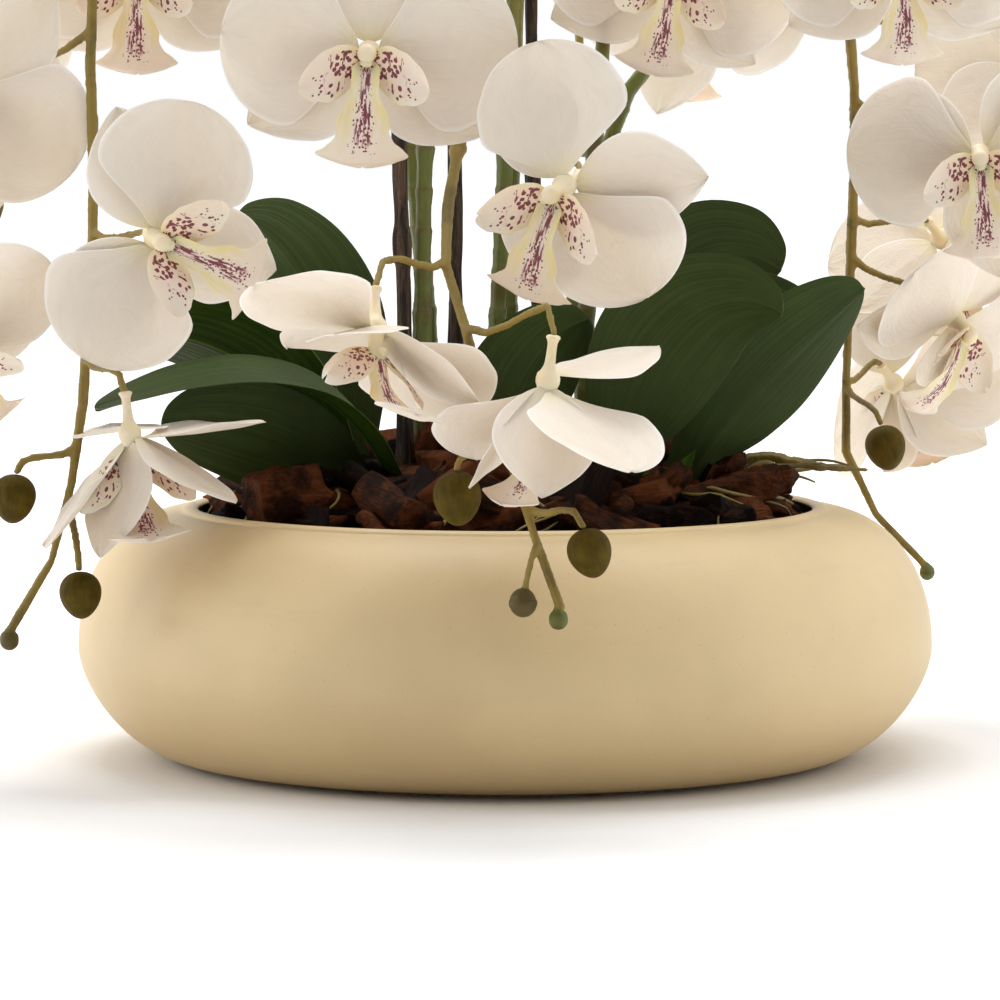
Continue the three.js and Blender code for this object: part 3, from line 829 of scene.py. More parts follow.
class ORCHID_OT_bowl(bpy.types.Operator):
    """Turn the low round bowl"""

    bl_idname = "orchid.bowl"
    bl_label = "Bowl"

    def execute(self, context):
        settings = context.scene.orchid_bowl
        low, high = BOWL_BOX
        radius, height = (high.x - low.x) / 2, high.z - low.z
        bm = bmesh.new()
        lathe(bm, bowl_profile(settings, radius, height), 160)
        middle = (low + high) / 2
        bmesh.ops.translate(bm, verts=bm.verts, vec=(middle.x, middle.y, low.z))
        settle("bowl_body", bm, [glaze(tuple(settings.clay))], ["bowl"])
        return {"FINISHED"}


class ORCHID_OT_pads(bpy.types.Operator):
    """Mould the bumpers under the bowl"""

    bl_idname = "orchid.pads"
    bl_label = "Foot pads"

    def execute(self, context):
        rubber = bumper(tuple(context.scene.orchid_bowl.pad))
        for name in group("foot_pad"):
            low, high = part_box(name)
            radius, height = (high.x - low.x) / 2, high.z - low.z
            dome = [
                (0, 0), (radius * 0.8, 0), (radius * 0.94, height * 0.12),
                (radius, height * 0.35), (radius, height * 0.7), (radius * 0.95, height * 0.93),
                (radius * 0.86, height), (0, height),
            ]
            bm = bmesh.new()
            lathe(bm, dome, 36)
            place = Vector(((low.x + high.x) / 2, (low.y + high.y) / 2, low.z))
            bmesh.ops.translate(bm, verts=bm.verts, vec=place)
            settle(name + "_bumper", bm, [rubber], [name])
        return {"FINISHED"}


# ---- bark ----


def rim_radius():
    """The radius of the bowl's mouth."""
    return bpy.context.scene.orchid_bowl.mouth * (BOWL_BOX[1].x - BOWL_BOX[0].x) / 2


def bark_height():
    """A function that gives the height of the CAD bark at a place, or a height for its edge."""
    bed = BVHTree.FromBMesh(merged("bark_bed"))

    def height(x, y, otherwise):
        hit = bed.ray_cast(Vector((x, y, 1)), Vector((0, 0, -1)))[0]
        return hit.z if hit else otherwise

    return height


def bark_material(name):
    """The bark's material, with the colours set by the user."""
    settings = bpy.context.scene.orchid_bark
    return bark(name, tuple(settings.light), tuple(settings.dark))


def mark_grain(bm, verts, spots, tone):
    """Stores where each corner lay before a flake was turned, and the flake's own tone."""
    along = bm.verts.layers.float_vector.get("grain") or bm.verts.layers.float_vector.new("grain")
    tint_layer = bm.verts.layers.float.get("tint") or bm.verts.layers.float.new("tint")
    for vert, spot in zip(verts, spots):
        vert[along] = spot
        vert[tint_layer] = tone


class ORCHID_OT_bark_bed(bpy.types.Operator):
    """Heap the fine bark that fills the bowl"""

    bl_idname = "orchid.bark_bed"
    bl_label = "Bark bed"

    def execute(self, context):
        height = bark_height()
        low, high = BED_BOX
        middle = (low + high) / 2
        reach = (high.x - low.x) / 2
        edge = rim_radius() - context.scene.orchid_bowl.wall - 2 * MM
        rings, sunk, skirt = 34, 4 * MM, 24 * MM
        profile = [
            (0, low.z), (reach * 0.6, low.z), (reach * 0.8, low.z + 8 * MM), (edge, high.z - skirt)
        ]
        for i in range(rings + 1):
            radius = edge * (1 - i / rings)
            top = min(height(radius + 0.1 * MM, 0.1 * MM, high.z), high.z)
            profile.append((radius, top - sunk))
        bm = bmesh.new()
        lathe(bm, profile, 120)
        mark_grain(bm, bm.verts, [v.co.copy() for v in bm.verts], 0.25)
        for v in bm.verts:
            if v.co.z > high.z - 22 * MM:
                v.co.z += 3.5 * MM * wave(v.co, 70) + 1.5 * MM * wave(v.co, 210, 3)
        bmesh.ops.translate(bm, verts=bm.verts, vec=(middle.x, middle.y, 0))
        settle("bark_heap", bm, [bark_material("bark_crumb")], ["bark_bed"])
        return {"FINISHED"}


CHIP_SEED = 11
CHIP_LENGTH = (0.5, 1.5)  # of a middling chip's length
CHIP_WIDTH = (0.4, 0.75)  # of its own length
CHIP_DEPTH = (0.28, 0.5)  # of its own width
CHIP_LIFT = (-0.35, 0.55)  # off the bed, of its own depth
CHIP_LEAN, CHIP_ROLL = 0.34, 0.4  # radians, for a typical chip


def flake(bm, draw, length, width, depth, place):
    """One bark chip: a block with torn ends and worn corners."""
    first = len(bm.verts)
    made = bmesh.ops.create_cube(bm, size=1)["verts"]
    edges = list(dict.fromkeys(e for v in made for e in v.link_edges))
    bmesh.ops.subdivide_edges(bm, edges=edges, cuts=2, use_grid_fill=True)
    bm.verts.ensure_lookup_table()
    verts = bm.verts[first:]
    seed = draw.uniform(0, 500)
    bend = draw.uniform(-0.25, 0.25)
    taper = draw.uniform(0.55, 1.0)
    for v in verts:
        x, y, z = v.co
        corner = 1 - 0.13 * (abs(x * y) * 4 + abs(y * z) * 4 + abs(x * z) * 4) / 3
        torn = 1 + 0.28 * wave((y * 3, z * 3, x), 1, seed)
        ragged = lerp(taper, 1, 0.5 - x) * (1 + 0.22 * wave((x * 3, z, y), 1, seed + 9))
        worn = 1 + 0.5 * wave((x * 3, y * 3, z), 1, seed + 5)
        v.co = Vector((
            x * length * corner * torn,
            y * width * corner * ragged,
            z * depth * corner * worn + bend * length * (x * x - 0.1),
        ))
    shift = Vector((draw.uniform(-1, 1), draw.uniform(-1, 1), draw.uniform(-1, 1)))
    mark_grain(bm, verts, [v.co + shift for v in verts], draw.random())
    bmesh.ops.transform(bm, matrix=place, verts=verts)


class ORCHID_OT_bark_chips(bpy.types.Operator):
    """Scatter the loose bark chips"""

    bl_idname = "orchid.bark_chips"
    bl_label = "Bark chips"

    def execute(self, context):
        settings = context.scene.orchid_bark
        height = bark_height()
        draw = random.Random(CHIP_SEED)
        reach = rim_radius() - context.scene.orchid_bowl.wall
        bm = bmesh.new()
        mark_grain(bm, [], [], 0)
        for _ in range(settings.chips):
            length = settings.chip * draw.uniform(*CHIP_LENGTH)
            width = length * draw.uniform(*CHIP_WIDTH)
            depth = width * draw.uniform(*CHIP_DEPTH)
            out = (reach - length * 0.42) * math.sqrt(draw.random())
            angle = draw.uniform(0, TAU)
            x, y = out * math.cos(angle), out * math.sin(angle)
            lean = draw.gauss(0, CHIP_LEAN)
            roll = draw.gauss(0, CHIP_ROLL)
            turn = draw.uniform(0, TAU)
            lift = draw.uniform(*CHIP_LIFT) * depth + abs(math.sin(lean)) * length * 0.22
            place = (
                Matrix.Translation((x, y, height(x, y, BED_BOX[1].z - 10 * MM) + lift))
                @ Matrix.Rotation(turn, 4, "Z")
                @ Matrix.Rotation(lean, 4, "Y")
                @ Matrix.Rotation(roll, 4, "X")
            )
            flake(bm, draw, length, width, depth, place)
        settle("bark_chips", bm, [bark_material("bark_chip")])
        return {"FINISHED"}


class ORCHID_OT_bark_chunks(bpy.types.Operator):
    """Carve the four large loose bark chunks"""

    bl_idname = "orchid.bark_chunks"
    bl_label = "Bark chunks"

    def execute(self, context):
        material = bark_material("bark_chunk")
        for index, (name, bm) in enumerate(skins("bark_chunk")):
            low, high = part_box(name)
            middle = (low + high) / 2
            spots = []
            for v in bm.verts:
                local = v.co - middle
                turned = Vector((local.x, local.z, local.y))
                spots.append(turned)
                rings = math.sin(local.length * 900 + 3 * wave(local, 120, index))
                push = 1.1 * wave(v.co, 160, index) + 0.5 * wave(v.co, 520) + 0.22 * rings
                v.co += v.normal * push * MM
            mark_grain(bm, bm.verts, spots, 0.25 + 0.13 * index)
            settle(name + "_carved", bm, [material], [name])
        return {"FINISHED"}


# ---- stakes, roots and strands ----

# fans of strands over the bark: heading from +X, and how many
STRANDS = ((-25, 7), (-64, 4), (-150, 6), (-118, 3), (30, 5), (110, 5), (190, 4))
STRANDS_BESIDE = 6  # more of them beside each aerial root
STRAND_SEED = 5
STRAND_STEPS = 18
STRAND_GIRTH = 3.5 * MM  # what the stem material paints them as


class ORCHID_OT_stakes(bpy.types.Operator):
    """Grow rough bark on the twig stakes"""

    bl_idname = "orchid.stakes"
    bl_label = "Twig stakes"

    def execute(self, context):
        material = stake_bark(tuple(context.scene.orchid_bark.stake))
        for index, (name, bm) in enumerate(skins("twig_stake")):
            for v in bm.verts:
                x, y, z = v.co
                split = wave((x * 420, y * 420, z * 34), 1, index * 7)
                knot = smooth(wave((x * 20, y * 20, z * 42), 1, index + 3), 0.25, 0.7)
                v.co += v.normal * (0.75 * split - 0.25 + 1.1 * knot) * MM
            settle(name + "_bark", bm, [material], [name])
        return {"FINISHED"}


def mark_girth(bm):
    """Stores how thick a stem is at each corner."""
    tree = BVHTree.FromBMesh(bm)
    girth = bm.verts.layers.float.new("girth")
    for v in bm.verts:
        hit = tree.ray_cast(v.co - v.normal * 0.2 * MM, -v.normal, 0.05)
        v[girth] = (hit[3] or 0.004) + 0.2 * MM
    for _ in range(2):
        found = [
            sum(e.other_vert(v)[girth] for e in v.link_edges) / len(v.link_edges) for v in bm.verts
        ]
        for v, value in zip(bm.verts, found):
            v[girth] = value
    return girth


class ORCHID_OT_roots(bpy.types.Operator):
    """Fatten the aerial roots and lay thin strands over the bark"""

    bl_idname = "orchid.roots"
    bl_label = "Aerial roots"

    def execute(self, context):
        greens = context.scene.orchid_greens
        skin = stem_skin(tuple(greens.stem), times(greens.stalk, 0.8), tuple(greens.bud))
        for name, bm in skins("air_root"):
            mark_girth(bm)
            for v in bm.verts:
                v.co += v.normal * (0.5 * wave(v.co, 240) + 0.25 * wave(v.co, 700)) * MM
            settle(name + "_skin", bm, [skin], [name])
        height = bark_height()
        draw = random.Random(STRAND_SEED)
        rim = rim_radius()
        bm = bmesh.new()
        girth_layer = bm.verts.layers.float.new("girth")
        for heading, many in STRANDS:
            for i in range(many):
                angle = math.radians(heading + draw.uniform(-16, 16))
                start, stop = draw.uniform(0.4, 0.62) * rim, draw.uniform(0.84, 0.97) * rim
                swing = draw.uniform(-0.35, 0.35)
                hop = draw.uniform(3, 12) * MM
                path = []
                for k in range(STRAND_STEPS + 1):
                    t = k / STRAND_STEPS
                    out = lerp(start, stop, t)
                    a = angle + swing * t * t + 0.05 * math.sin(9 * t + i)
                    x, y = out * math.cos(a), out * math.sin(a)
                    z = height(x, y, BED_BOX[1].z - 12 * MM) + 2 * MM
                    rise = hop * math.sin(math.pi * t) ** 0.8 + 2 * MM * wave((x, y, i), 60)
                    path.append((x, y, z + rise))
                root = draw.uniform(0.9, 1.7) * MM
                tube(bm, path, lambda t: root * lerp(1, 0.35, t * t))
        for name in ("air_root_right", "air_root_left"):
            low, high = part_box(name)
            inner, outer = sorted((low.x, high.x), key=abs)
            for i in range(STRANDS_BESIDE):
                side = draw.uniform(-26, 26) * MM
                start = Vector((
                    inner * draw.uniform(0.85, 1.1), (low.y + high.y) / 2 + side, low.z,
                ))
                stop = Vector((
                    outer * draw.uniform(0.78, 1.0), start.y + draw.uniform(-16, 16) * MM,
                    lerp(low.z, high.z, draw.uniform(0.2, 1.1)),
                ))
                hop = draw.uniform(2, 10) * MM
                path = []
                for k in range(STRAND_STEPS + 1):
                    t = k / STRAND_STEPS
                    point = start.lerp(stop, t) + Vector((0, 0, hop * math.sin(math.pi * t)))
                    point.y += 5 * MM * wave((t * 2, i, 7), 1)
                    point.z += 4 * MM * wave((t * 2.5, i, 3), 1)
                    path.append(tuple(point))
                root = draw.uniform(1.0, 1.9) * MM
                tube(bm, path, lambda t: root * lerp(1, 0.3, t * t))
        for v in bm.verts:
            v[girth_layer] = STRAND_GIRTH
        settle("root_strands", bm, [skin])
        return {"FINISHED"}


# ---- leaves ----


LEAF_GRID = (56, 110)  # corners around and along a leaf


def curve_through(points, t):
    """The point t of the way along a smooth curve through evenly spaced points."""
    last = len(points) - 1
    at = min(max(t, 0), 1) * last
    i = min(int(at), last - 1)
    a, b, c, d = (points[min(max(i + k, 0), last)] for k in (-1, 0, 1, 2))
    x = at - i
    return 0.5 * (
        2 * b + (c - a) * x + (2 * a - 5 * b + 4 * c - d) * x * x + (3 * b - a - 3 * c + d) * x ** 3
    )


def leaf_sections(name):
    """A leaf's midrib, half width, side direction and edge lift, ring by ring from its base."""
    bm = merged(name)
    poles = sorted((v for v in bm.verts if len(v.link_edges) == 8), key=lambda v: v.co.z)
    seen, level, rings = {poles[0]}, [poles[0]], []
    while level:
        rings.append([v.co.copy() for v in level])
        level = {e.other_vert(v) for v in level for e in v.link_edges} - seen
        level = sorted(level, key=lambda v: v.index)
        seen.update(level)
    bm.free()
    spine, sides, widths, edges = [], [], [], []
    for ring in rings[1:-1]:
        left, right = max(((a, b) for a in ring for b in ring), key=lambda p: (p[0] - p[1]).length)
        side = (right - left).normalized()
        if sides and side.dot(sides[-1]) < 0:
            left, right, side = right, left, -side
        order = sorted(ring, key=lambda p: p.dot(side))
        spine.append((order[3] + order[4]) / 2)
        sides.append(side)
        widths.append((right - left).length / 2)
        edges.append((left + right) / 2)
    lifts = [edge - middle for edge, middle in zip(edges, spine)]
    spine = [rings[0][0], *spine, rings[-1][0]]
    sides = [sides[0], *sides, sides[-1]]
    lifts = [lifts[0] * 0, *lifts, lifts[-1] * 0.2]
    widths = [0.0, *widths, 0.0]
    return spine, sides, widths, lifts


def grow_leaf(name, settings, seed):
    """A fine leaf along a CAD leaf's own rings."""
    spine, sides, widths, lifts = leaf_sections(name)
    squares = [w * w for w in widths]
    upright = Vector((0, 0, 1))
    faces_up = sum(
        sides[i].cross(spine[min(i + 1, len(spine) - 1)] - spine[i - 1]).dot(upright)
        for i in range(1, len(spine) - 1)
    )
    sign = 1 if faces_up > 0 else -1
    bm = bmesh.new()
    under_layer = bm.verts.layers.float.new("under")

    def place(t, u, side):
        middle = curve_through(spine, t)
        ahead = curve_through(spine, min(t + 0.01, 1)) - curve_through(spine, max(t - 0.01, 0))
        across = curve_through(sides, t).normalized()
        half = math.sqrt(max(0.0, curve_through(squares, t)))
        face = across.cross(ahead).normalized() * sign
        lift = curve_through(lifts, t)
        blade_half = lerp(settings.blade, settings.edge, abs(u) ** 1.5) / 2
        blade_half *= min(1.0, half / (6 * MM) + 0.15)
        rib = math.exp(-((u / 0.055) ** 2))
        rise = 0.8 * MM * wave((u * 1.2, t * 5, seed), 1.0) * abs(u) ** 2
        rise += 0.5 * MM * wave((u * 9, t * 2, seed), 1.0) * (1 - abs(u)) * smooth(t, 0.1, 0.4)
        rise -= 0.9 * MM * rib * smooth(t, 0.02, 0.3)
        point = middle + across * (half * u) + lift * abs(u) ** 1.25 + face * rise
        return point + face * blade_half * math.copysign(abs(side) ** 0.7, side)

    blade(bm, *LEAF_GRID, place)
    bm.normal_update()
    for face in bm.faces:
        t = sum(loop[bm.loops.layers.uv[CHART]].uv[1] for loop in face.loops) / len(face.loops)
        ahead = curve_through(spine, min(t + 0.01, 1)) - curve_through(spine, max(t - 0.01, 0))
        normal = curve_through(sides, t).normalized().cross(ahead).normalized() * sign
        if face.normal.dot(normal) < 0:
            for v in face.verts:
                v[under_layer] = 1.0
    return bm


# young shoots in the bark: heading from +X, share of the rim's radius, height in millimetres
SPROUTS = ((-12, 0.55, 30), (-28, 0.46, 20), (-74, 0.42, 22), (-98, 0.60, 17), (-120, 0.30, 24))


def grow_sprouts(settings):
    """Short pointed shoots that stand in the bark."""
    height = bark_height()
    bm = bmesh.new()
    for heading, out, tall in SPROUTS:
        angle = math.radians(heading)
        foot = Vector((math.cos(angle), math.sin(angle), 0)) * rim_radius() * out
        foot.z = height(foot.x, foot.y, BED_BOX[1].z)
        lean = Vector((math.cos(angle), 0, 0)) * 0.5

        def place(t, u, side, foot=foot, lean=lean, tall=tall):
            half = 0.13 * tall * MM * math.sin(math.pi * t**0.7) ** 0.8
            middle = foot + (Vector((0, 0, 1)) * t + lean * t * t) * tall * MM
            thick = settings.blade / 2 * (1 - 0.6 * t) * math.copysign(abs(side) ** 0.7, side)
            return middle + Vector((half * u, 0.4 * abs(half * u) - thick, 0))

        blade(bm, 20, 16, place)
    return bm


class ORCHID_OT_leaves(bpy.types.Operator):
    """Grow the strap leaves"""

    bl_idname = "orchid.leaves"
    bl_label = "Leaves"

    def execute(self, context):
        settings = context.scene.orchid_greens
        skin = leaf_skin(tuple(settings.leaf), tuple(settings.underside))
        for seed, name in enumerate(group("leaf_")):
            settle(name + "_blade", grow_leaf(name, settings, seed * 5.3), [skin], [name])
        young = leaf_skin(times(settings.leaf, 3.5), times(settings.underside, 2))
        settle("sprouts", grow_sprouts(settings), [young])
        return {"FINISHED"}


# ---- flower spikes ----


TIP_GIRTH, TIP_TOP = 6.5 * MM, 140 * MM  # what is thicker than a stem below this is a tip bud
TIP_APART = 12 * MM
NODE_STEP = 18 * MM  # between the knuckles of the thick stems
THICK_STEM = (5.4 * MM, 6.6 * MM)  # where the knuckles fade in
# the ribbed sleeve where the hanging end of the front spike is pushed on
FERRULE = {"height": 276 * MM, "half": 10 * MM, "swell": 2.6 * MM, "ribs": 7, "front_of": -60 * MM}


def round_tips(bm, girth):
    """Rounds the small buds at a spike's tip, which are thicker than the stem there."""
    lumps = []
    for v in bm.verts:
        if v[girth] < TIP_GIRTH or v.co.z > TIP_TOP:
            continue
        near = [lump for lump in lumps if (lump[0] - v.co).length < TIP_APART]
        if near:
            near[0].append(v.co.copy())
        else:
            lumps.append([v.co.copy()])
    for lump in lumps:
        low, high = (Vector((pick(p[i] for p in lump) for i in range(3))) for pick in (min, max))
        middle = (low + high) / 2
        radius = sum((p - middle).length for p in lump) / len(lump)
        for v in bm.verts:
            away = v.co - middle
            if 0 < away.length < radius * 1.3:
                hold = smooth(away.length, radius * 1.3, radius * 1.15)
                long = 1 + 0.12 * abs(away.normalized().z)
                v.co = v.co.lerp(middle + away.normalized() * radius * long, hold)


class ORCHID_OT_spikes(bpy.types.Operator):
    """Smooth the flower spikes and raise their joints"""

    bl_idname = "orchid.spikes"
    bl_label = "Flower spikes"

    def execute(self, context):
        greens = context.scene.orchid_greens
        skin = stem_skin(tuple(greens.stem), tuple(greens.stalk), tuple(greens.bud))
        for name, bm in skins("spike_"):
            girth = mark_girth(bm)
            round_tips(bm, girth)
            knuckle = bm.verts.layers.float.new("knuckle")
            tip = bm.verts.layers.float.new("tip")
            for v in bm.verts if name == "spike_front" else ():
                if v.co.y < FERRULE["front_of"]:
                    rise = (v.co.z - FERRULE["height"]) / FERRULE["half"]
                    ribs = 0.75 + 0.25 * math.cos(rise * FERRULE["ribs"])
                    away = Vector((v.normal.x, v.normal.y, 0))
                    v.co += away * FERRULE["swell"] * ribs * math.exp(-(rise ** 4))
            for v in bm.verts:
                thick = smooth(v[girth], *THICK_STEM) * smooth(abs(v.normal.z), 0.5, 0.2)
                step = (v.co.z / NODE_STEP) % 1
                swell = smooth(step, 0.55, 0.92) * smooth(step, 1.0, 0.95)
                v[knuckle] = thick * smooth(step, 0.9, 0.95) * smooth(step, 1.0, 0.97)
                v[tip] = 1.0 - smooth(v.co.z, TIP_TOP, TIP_TOP + 10 * MM)
                ripple = 0.12 * wave(v.co, 420) + 0.2 * wave(v.co, 90)
                v.co += v.normal * (0.55 * swell * thick + ripple + 0.15) * MM
            settle(name + "_stem", bm, [skin], [name])
        return {"FINISHED"}


# ---- flowers ----

# a flower faces +Z with its top towards +Y, and its numbers are in millimetres and degrees
PETAL = {"length": 57, "start": 4, "forward": 1.6, "arch": -0.35, "cup": -0.35}
SEPAL = {"length": 54, "start": 4, "forward": -1.6, "arch": -0.25, "cup": 0.3}
PETAL_HALF, SEPAL_HALF = 33, 21
PETAL_HEADINGS, SEPAL_HEADINGS = (84, -84), (0, 122, 238)
LIP_HINGE = Vector((0, -1, 8))
LIP = {
    "ear_long": 25, "ear_half": 10.5, "ear_drop": 11, "ear_rise": 9,
    "long": 47, "arch": 12, "neck": 5.5, "waist": 5.0, "flare": 7.5,
}
VARIANTS = {"flat": 3, "turned": 3}  # how many different ruffles; the other postures have one
POSTURES = {
    "flat": {"petals": (5, 5), "sepals": (-4, -4, -4), "turn": 0, "lip": 0},
    "turned": {"petals": (2, 2), "sepals": (-6, -6, -6), "turn": 52, "lip": 0},
    "swept": {"petals": (-14, -14), "sepals": (-18, -18, -18), "turn": 22, "lip": 0, "twist": 52},
    "drooping": {"petals": (44, 30), "sepals": (-12, 64, 54), "turn": 0, "lip": 66},
    "folded": {"petals": (50, 4), "sepals": (2, 68, 40), "turn": 0, "lip": 48},
    "leaning": {"petals": (-2, 26), "sepals": (-4, 28, 40), "turn": 0, "lip": 50},
}


def petal_half(t):
    """Half a petal's width, t of the way along it."""
    body = math.sqrt(max(0.0, 1 - (2 * t**0.9 - 1) ** 2))
    return PETAL_HALF * body * lerp(0.4, 1, smooth(t, 0.02, 0.4))


def sepal_half(t):
    """Half a sepal's width, t of the way along it."""
    return SEPAL_HALF * max(0.0, math.sin(math.pi * t**0.85)) ** 0.8


def tepal_point(shape, lift, heading, t, x, z):
    """A point of a tepal: t along, x across and z off its face, in millimetres."""
    tilt, turn = math.radians(lift), math.radians(heading)
    length, arch = shape["length"], shape["arch"]
    along = shape["start"] + length * t * (1 - 0.12 * abs(arch) * t)
    out = z + arch * length * t * t * 0.22 + shape["cup"] * x * x * 0.01
    y = along * math.cos(tilt) - out * math.sin(tilt)
    depth = shape["forward"] + along * math.sin(tilt) + out * math.cos(tilt)
    return Vector((
        x * math.cos(turn) + y * math.sin(turn), y * math.cos(turn) - x * math.sin(turn), depth,
    ))


def add_tepal(bm, shape, half, lift, heading, settings, seed, material, ruffle):
    """One petal or sepal, thin and waved at its edge."""
    sheet = settings.sheet / MM

    def place(t, u, side):
        x = half(t) * u
        edge = abs(u) ** 2 * smooth(t, 0.08, 0.4)
        z = sheet / 2 * math.copysign(abs(side) ** 0.5, side) * lerp(1, 0.7, abs(u))
        z += ruffle * edge * wave((u * 1.4, t * 4.2, seed), 1.0) * 1.6
        z += ruffle * 0.8 * smooth(t, 0.12, 0.5) * wave((u * 2.3, t * 2.6, seed + 30), 1.0)
        z += ruffle * 1.1 * smooth(t, 0.75, 1.0) * wave((u * 1.9, seed, 4), 1.0)
        z -= 0.6 * math.exp(-((u / 0.10) ** 2)) * smooth(t, 0.0, 0.2) * smooth(t, 0.95, 0.5)
        x += 1.1 * half(t) / 33 * wave((t * 5, math.copysign(3, u), seed), 1.0) * abs(u)
        return tepal_point(shape, lift, heading, t, x, z) * MM

    blade(bm, 44, 36, place, material)


def add_lip(bm, settings, swing, twist):
    """The three-lobed lip: two spotted ears and a long middle lobe with a flared end."""
    sheet = settings.sheet / MM * 1.3
    turn = Matrix.Rotation(-math.radians(swing), 3, "X")
    spin = Matrix.Rotation(math.radians(twist), 3, "Z")

    def hung(point):
        return spin @ (turn @ (point - LIP_HINGE) + LIP_HINGE) * MM

    for side_of in (1, -1):

        def ear(t, u, side, side_of=side_of):
            half = LIP["ear_half"] * max(0.0, math.sin(math.pi * t)) ** 0.5
            x = half * u * (1 + 0.14 * wave((u * 3, t * 5, side_of), 1.0) * smooth(t, 0.2, 0.6))
            z = sheet / 2 * math.copysign(abs(side) ** 0.5, side)
            z += 1.5 * wave((u * 2, t * 4, side_of * 5), 1.0) * abs(u)
            curl = 3.4 * (t - 0.35) ** 2 + 2.2 * u * u * t
            return hung(Vector((
                side_of * (0.5 + LIP["ear_long"] * t - 0.3 * z),
                -4 + x - LIP["ear_drop"] * t,
                9 + LIP["ear_rise"] * t - z + 1.5 * curl,
            )))

        blade(bm, 36, 28, ear, LIP_EAR)

    def middle(t, u, side):
        neck = LIP["neck"] * smooth(t, 0.0, 0.12)
        flare = LIP["waist"] * smooth(t, 0.3, 0.6) + LIP["flare"] * smooth(t, 0.66, 0.9)
        end = math.sqrt(max(0.0, 1 - ((t - 0.86) / 0.14) ** 2)) if t > 0.86 else 1.0
        half = (neck + flare) * max(end, 0.0) * min(1.0, math.sqrt(max(0.0, t) / 0.03))
        frill = smooth(t, 0.45, 0.8) * abs(u)
        ragged = 1 + 0.20 * wave((u * 5, 7, t * 12), 1.0) * smooth(t, 0.5, 0.85)
        x = half * u * ragged
        z = sheet / 2 * math.copysign(abs(side) ** 0.5, side)
        gutter = 3.2 * u * u * smooth(t, 0.75, 0.2) - 2.0 * u * u * smooth(t, 0.6, 0.95)
        horns = -12.0 * abs(u) ** 2 * smooth(t, 0.7, 1.0)
        z += 2.3 * wave((u * 2.6, t * 7, 3), 1.0) * frill
        notch = 3.0 * (1 - abs(u)) * smooth(t, 0.9, 1.0)
        arch = LIP["arch"] * math.sin(0.8 * math.pi * t)
        y = -1 - LIP["long"] * t - horns * 0.25 + notch
        return hung(Vector((x, y, 6 + arch + gutter - z)))

    blade(bm, 44, 44, middle, LIP_MIDDLE)


def add_column(bm):
    """Ovary stalk, hub and the short column with its cap."""
    stalk = [(0, -18.4), (1.6, -18.4), (2.5, -18.0), (2.7, -17.2), (2.2, -16.4), (1.8, -15),
             (1.9, -10), (2.4, -6), (3.4, -4), (4.5, -2.8), (4.9, -1), (4.8, 1), (4.1, 2.6),
             (3.5, 4), (3.1, 6), (3.0, 8), (3.3, 10), (3.8, 11.8), (3.7, 13.2), (2.8, 14.4),
             (1.4, 14.9), (0, 15.0)]
    for v in lathe(bm, [(r * MM, z * MM) for r, z in stalk], 28, COLUMN):
        z = v.co.z / MM
        if z < -5:
            angle = math.atan2(v.co.y, v.co.x)
            groove = 1 + 0.10 * math.sin(angle * 6 + z * 0.35)
            v.co.x *= groove
            v.co.y *= groove
        if z > 6:
            v.co.y -= 0.10 * (z - 6) ** 1.2 * MM
    knob = bmesh.ops.create_uvsphere(bm, u_segments=20, v_segments=14, radius=1)["verts"]
    for v in knob:
        v.co = Vector((v.co.x * 2.4, v.co.y * 1.8 - 4.6, v.co.z * 2.2 + 11.8)) * MM
    for face in {face for v in knob for face in v.link_faces}:
        face.material_index = COLUMN


TEPAL_PETAL, TEPAL_SEPAL, LIP_EAR, LIP_MIDDLE, COLUMN = range(5)


def flower_mesh(posture, settings, seed):
    """A whole flower that faces +Z, its top towards +Y."""
    bm = bmesh.new()
    ruffle = settings.ruffle / MM
    for i, heading in enumerate(PETAL_HEADINGS):
        add_tepal(bm, PETAL, petal_half, posture["petals"][i], heading, settings,
                  seed + i * 13, TEPAL_PETAL, ruffle)
    for i, heading in enumerate(SEPAL_HEADINGS):
        add_tepal(bm, SEPAL, sepal_half, posture["sepals"][i], heading + posture["turn"], settings,
                  seed + 40 + i * 11, TEPAL_SEPAL, ruffle * 0.7)
    add_lip(bm, settings, posture["lip"], posture.get("twist", 0))
    add_column(bm)
    return mesh_of("flower", bm)


def spread_of(mesh):
    """A mesh's area-weighted centre and main axes, widest first."""
    mesh.calc_loop_triangles()
    corners = np.array([v.co for v in mesh.vertices])
    tris = corners[np.array([t.vertices for t in mesh.loop_triangles])]
    cross = np.cross(tris[:, 1] - tris[:, 0], tris[:, 2] - tris[:, 0])
    area = np.linalg.norm(cross, axis=1)
    middle = tris.mean(1)
    centre = (middle * area[:, None]).sum(0) / area.sum()
    away = middle - centre
    _, axes = np.linalg.eigh((away * area[:, None]).T @ away / area.sum())
    axes = axes[:, ::-1]
    if np.linalg.det(axes) < 0:
        axes[:, 2] *= -1
    return centre, axes


def best_turn(here, there):
    """The scale, rotation and shift that take points here onto points there."""
    a, b = here.mean(0), there.mean(0)
    x, y = here - a, there - b
    u, s, vt = np.linalg.svd(y.T @ x)
    flip = np.diag([1, 1, np.sign(np.linalg.det(u @ vt))])
    turn = u @ flip @ vt
    scale = (s * np.diag(flip)).sum() / (x * x).sum()
    return scale, turn, b - scale * turn @ a


def fit(points, start, tree, target, steps):
    """Moves points step by step onto a template; gives how far off they end and the place."""
    scale, turn, shift = start
    for _ in range(steps):
        moved = scale * points @ turn.T + shift
        near = target[[tree.find(p)[1] for p in moved]]
        scale, turn, shift = best_turn(points, near)
        scale = min(1.15, max(0.85, scale))
    moved = scale * points @ turn.T + shift
    off = np.array([tree.find(p)[2] for p in moved])
    return float(np.sqrt((off**2).mean())), (scale, turn, shift)


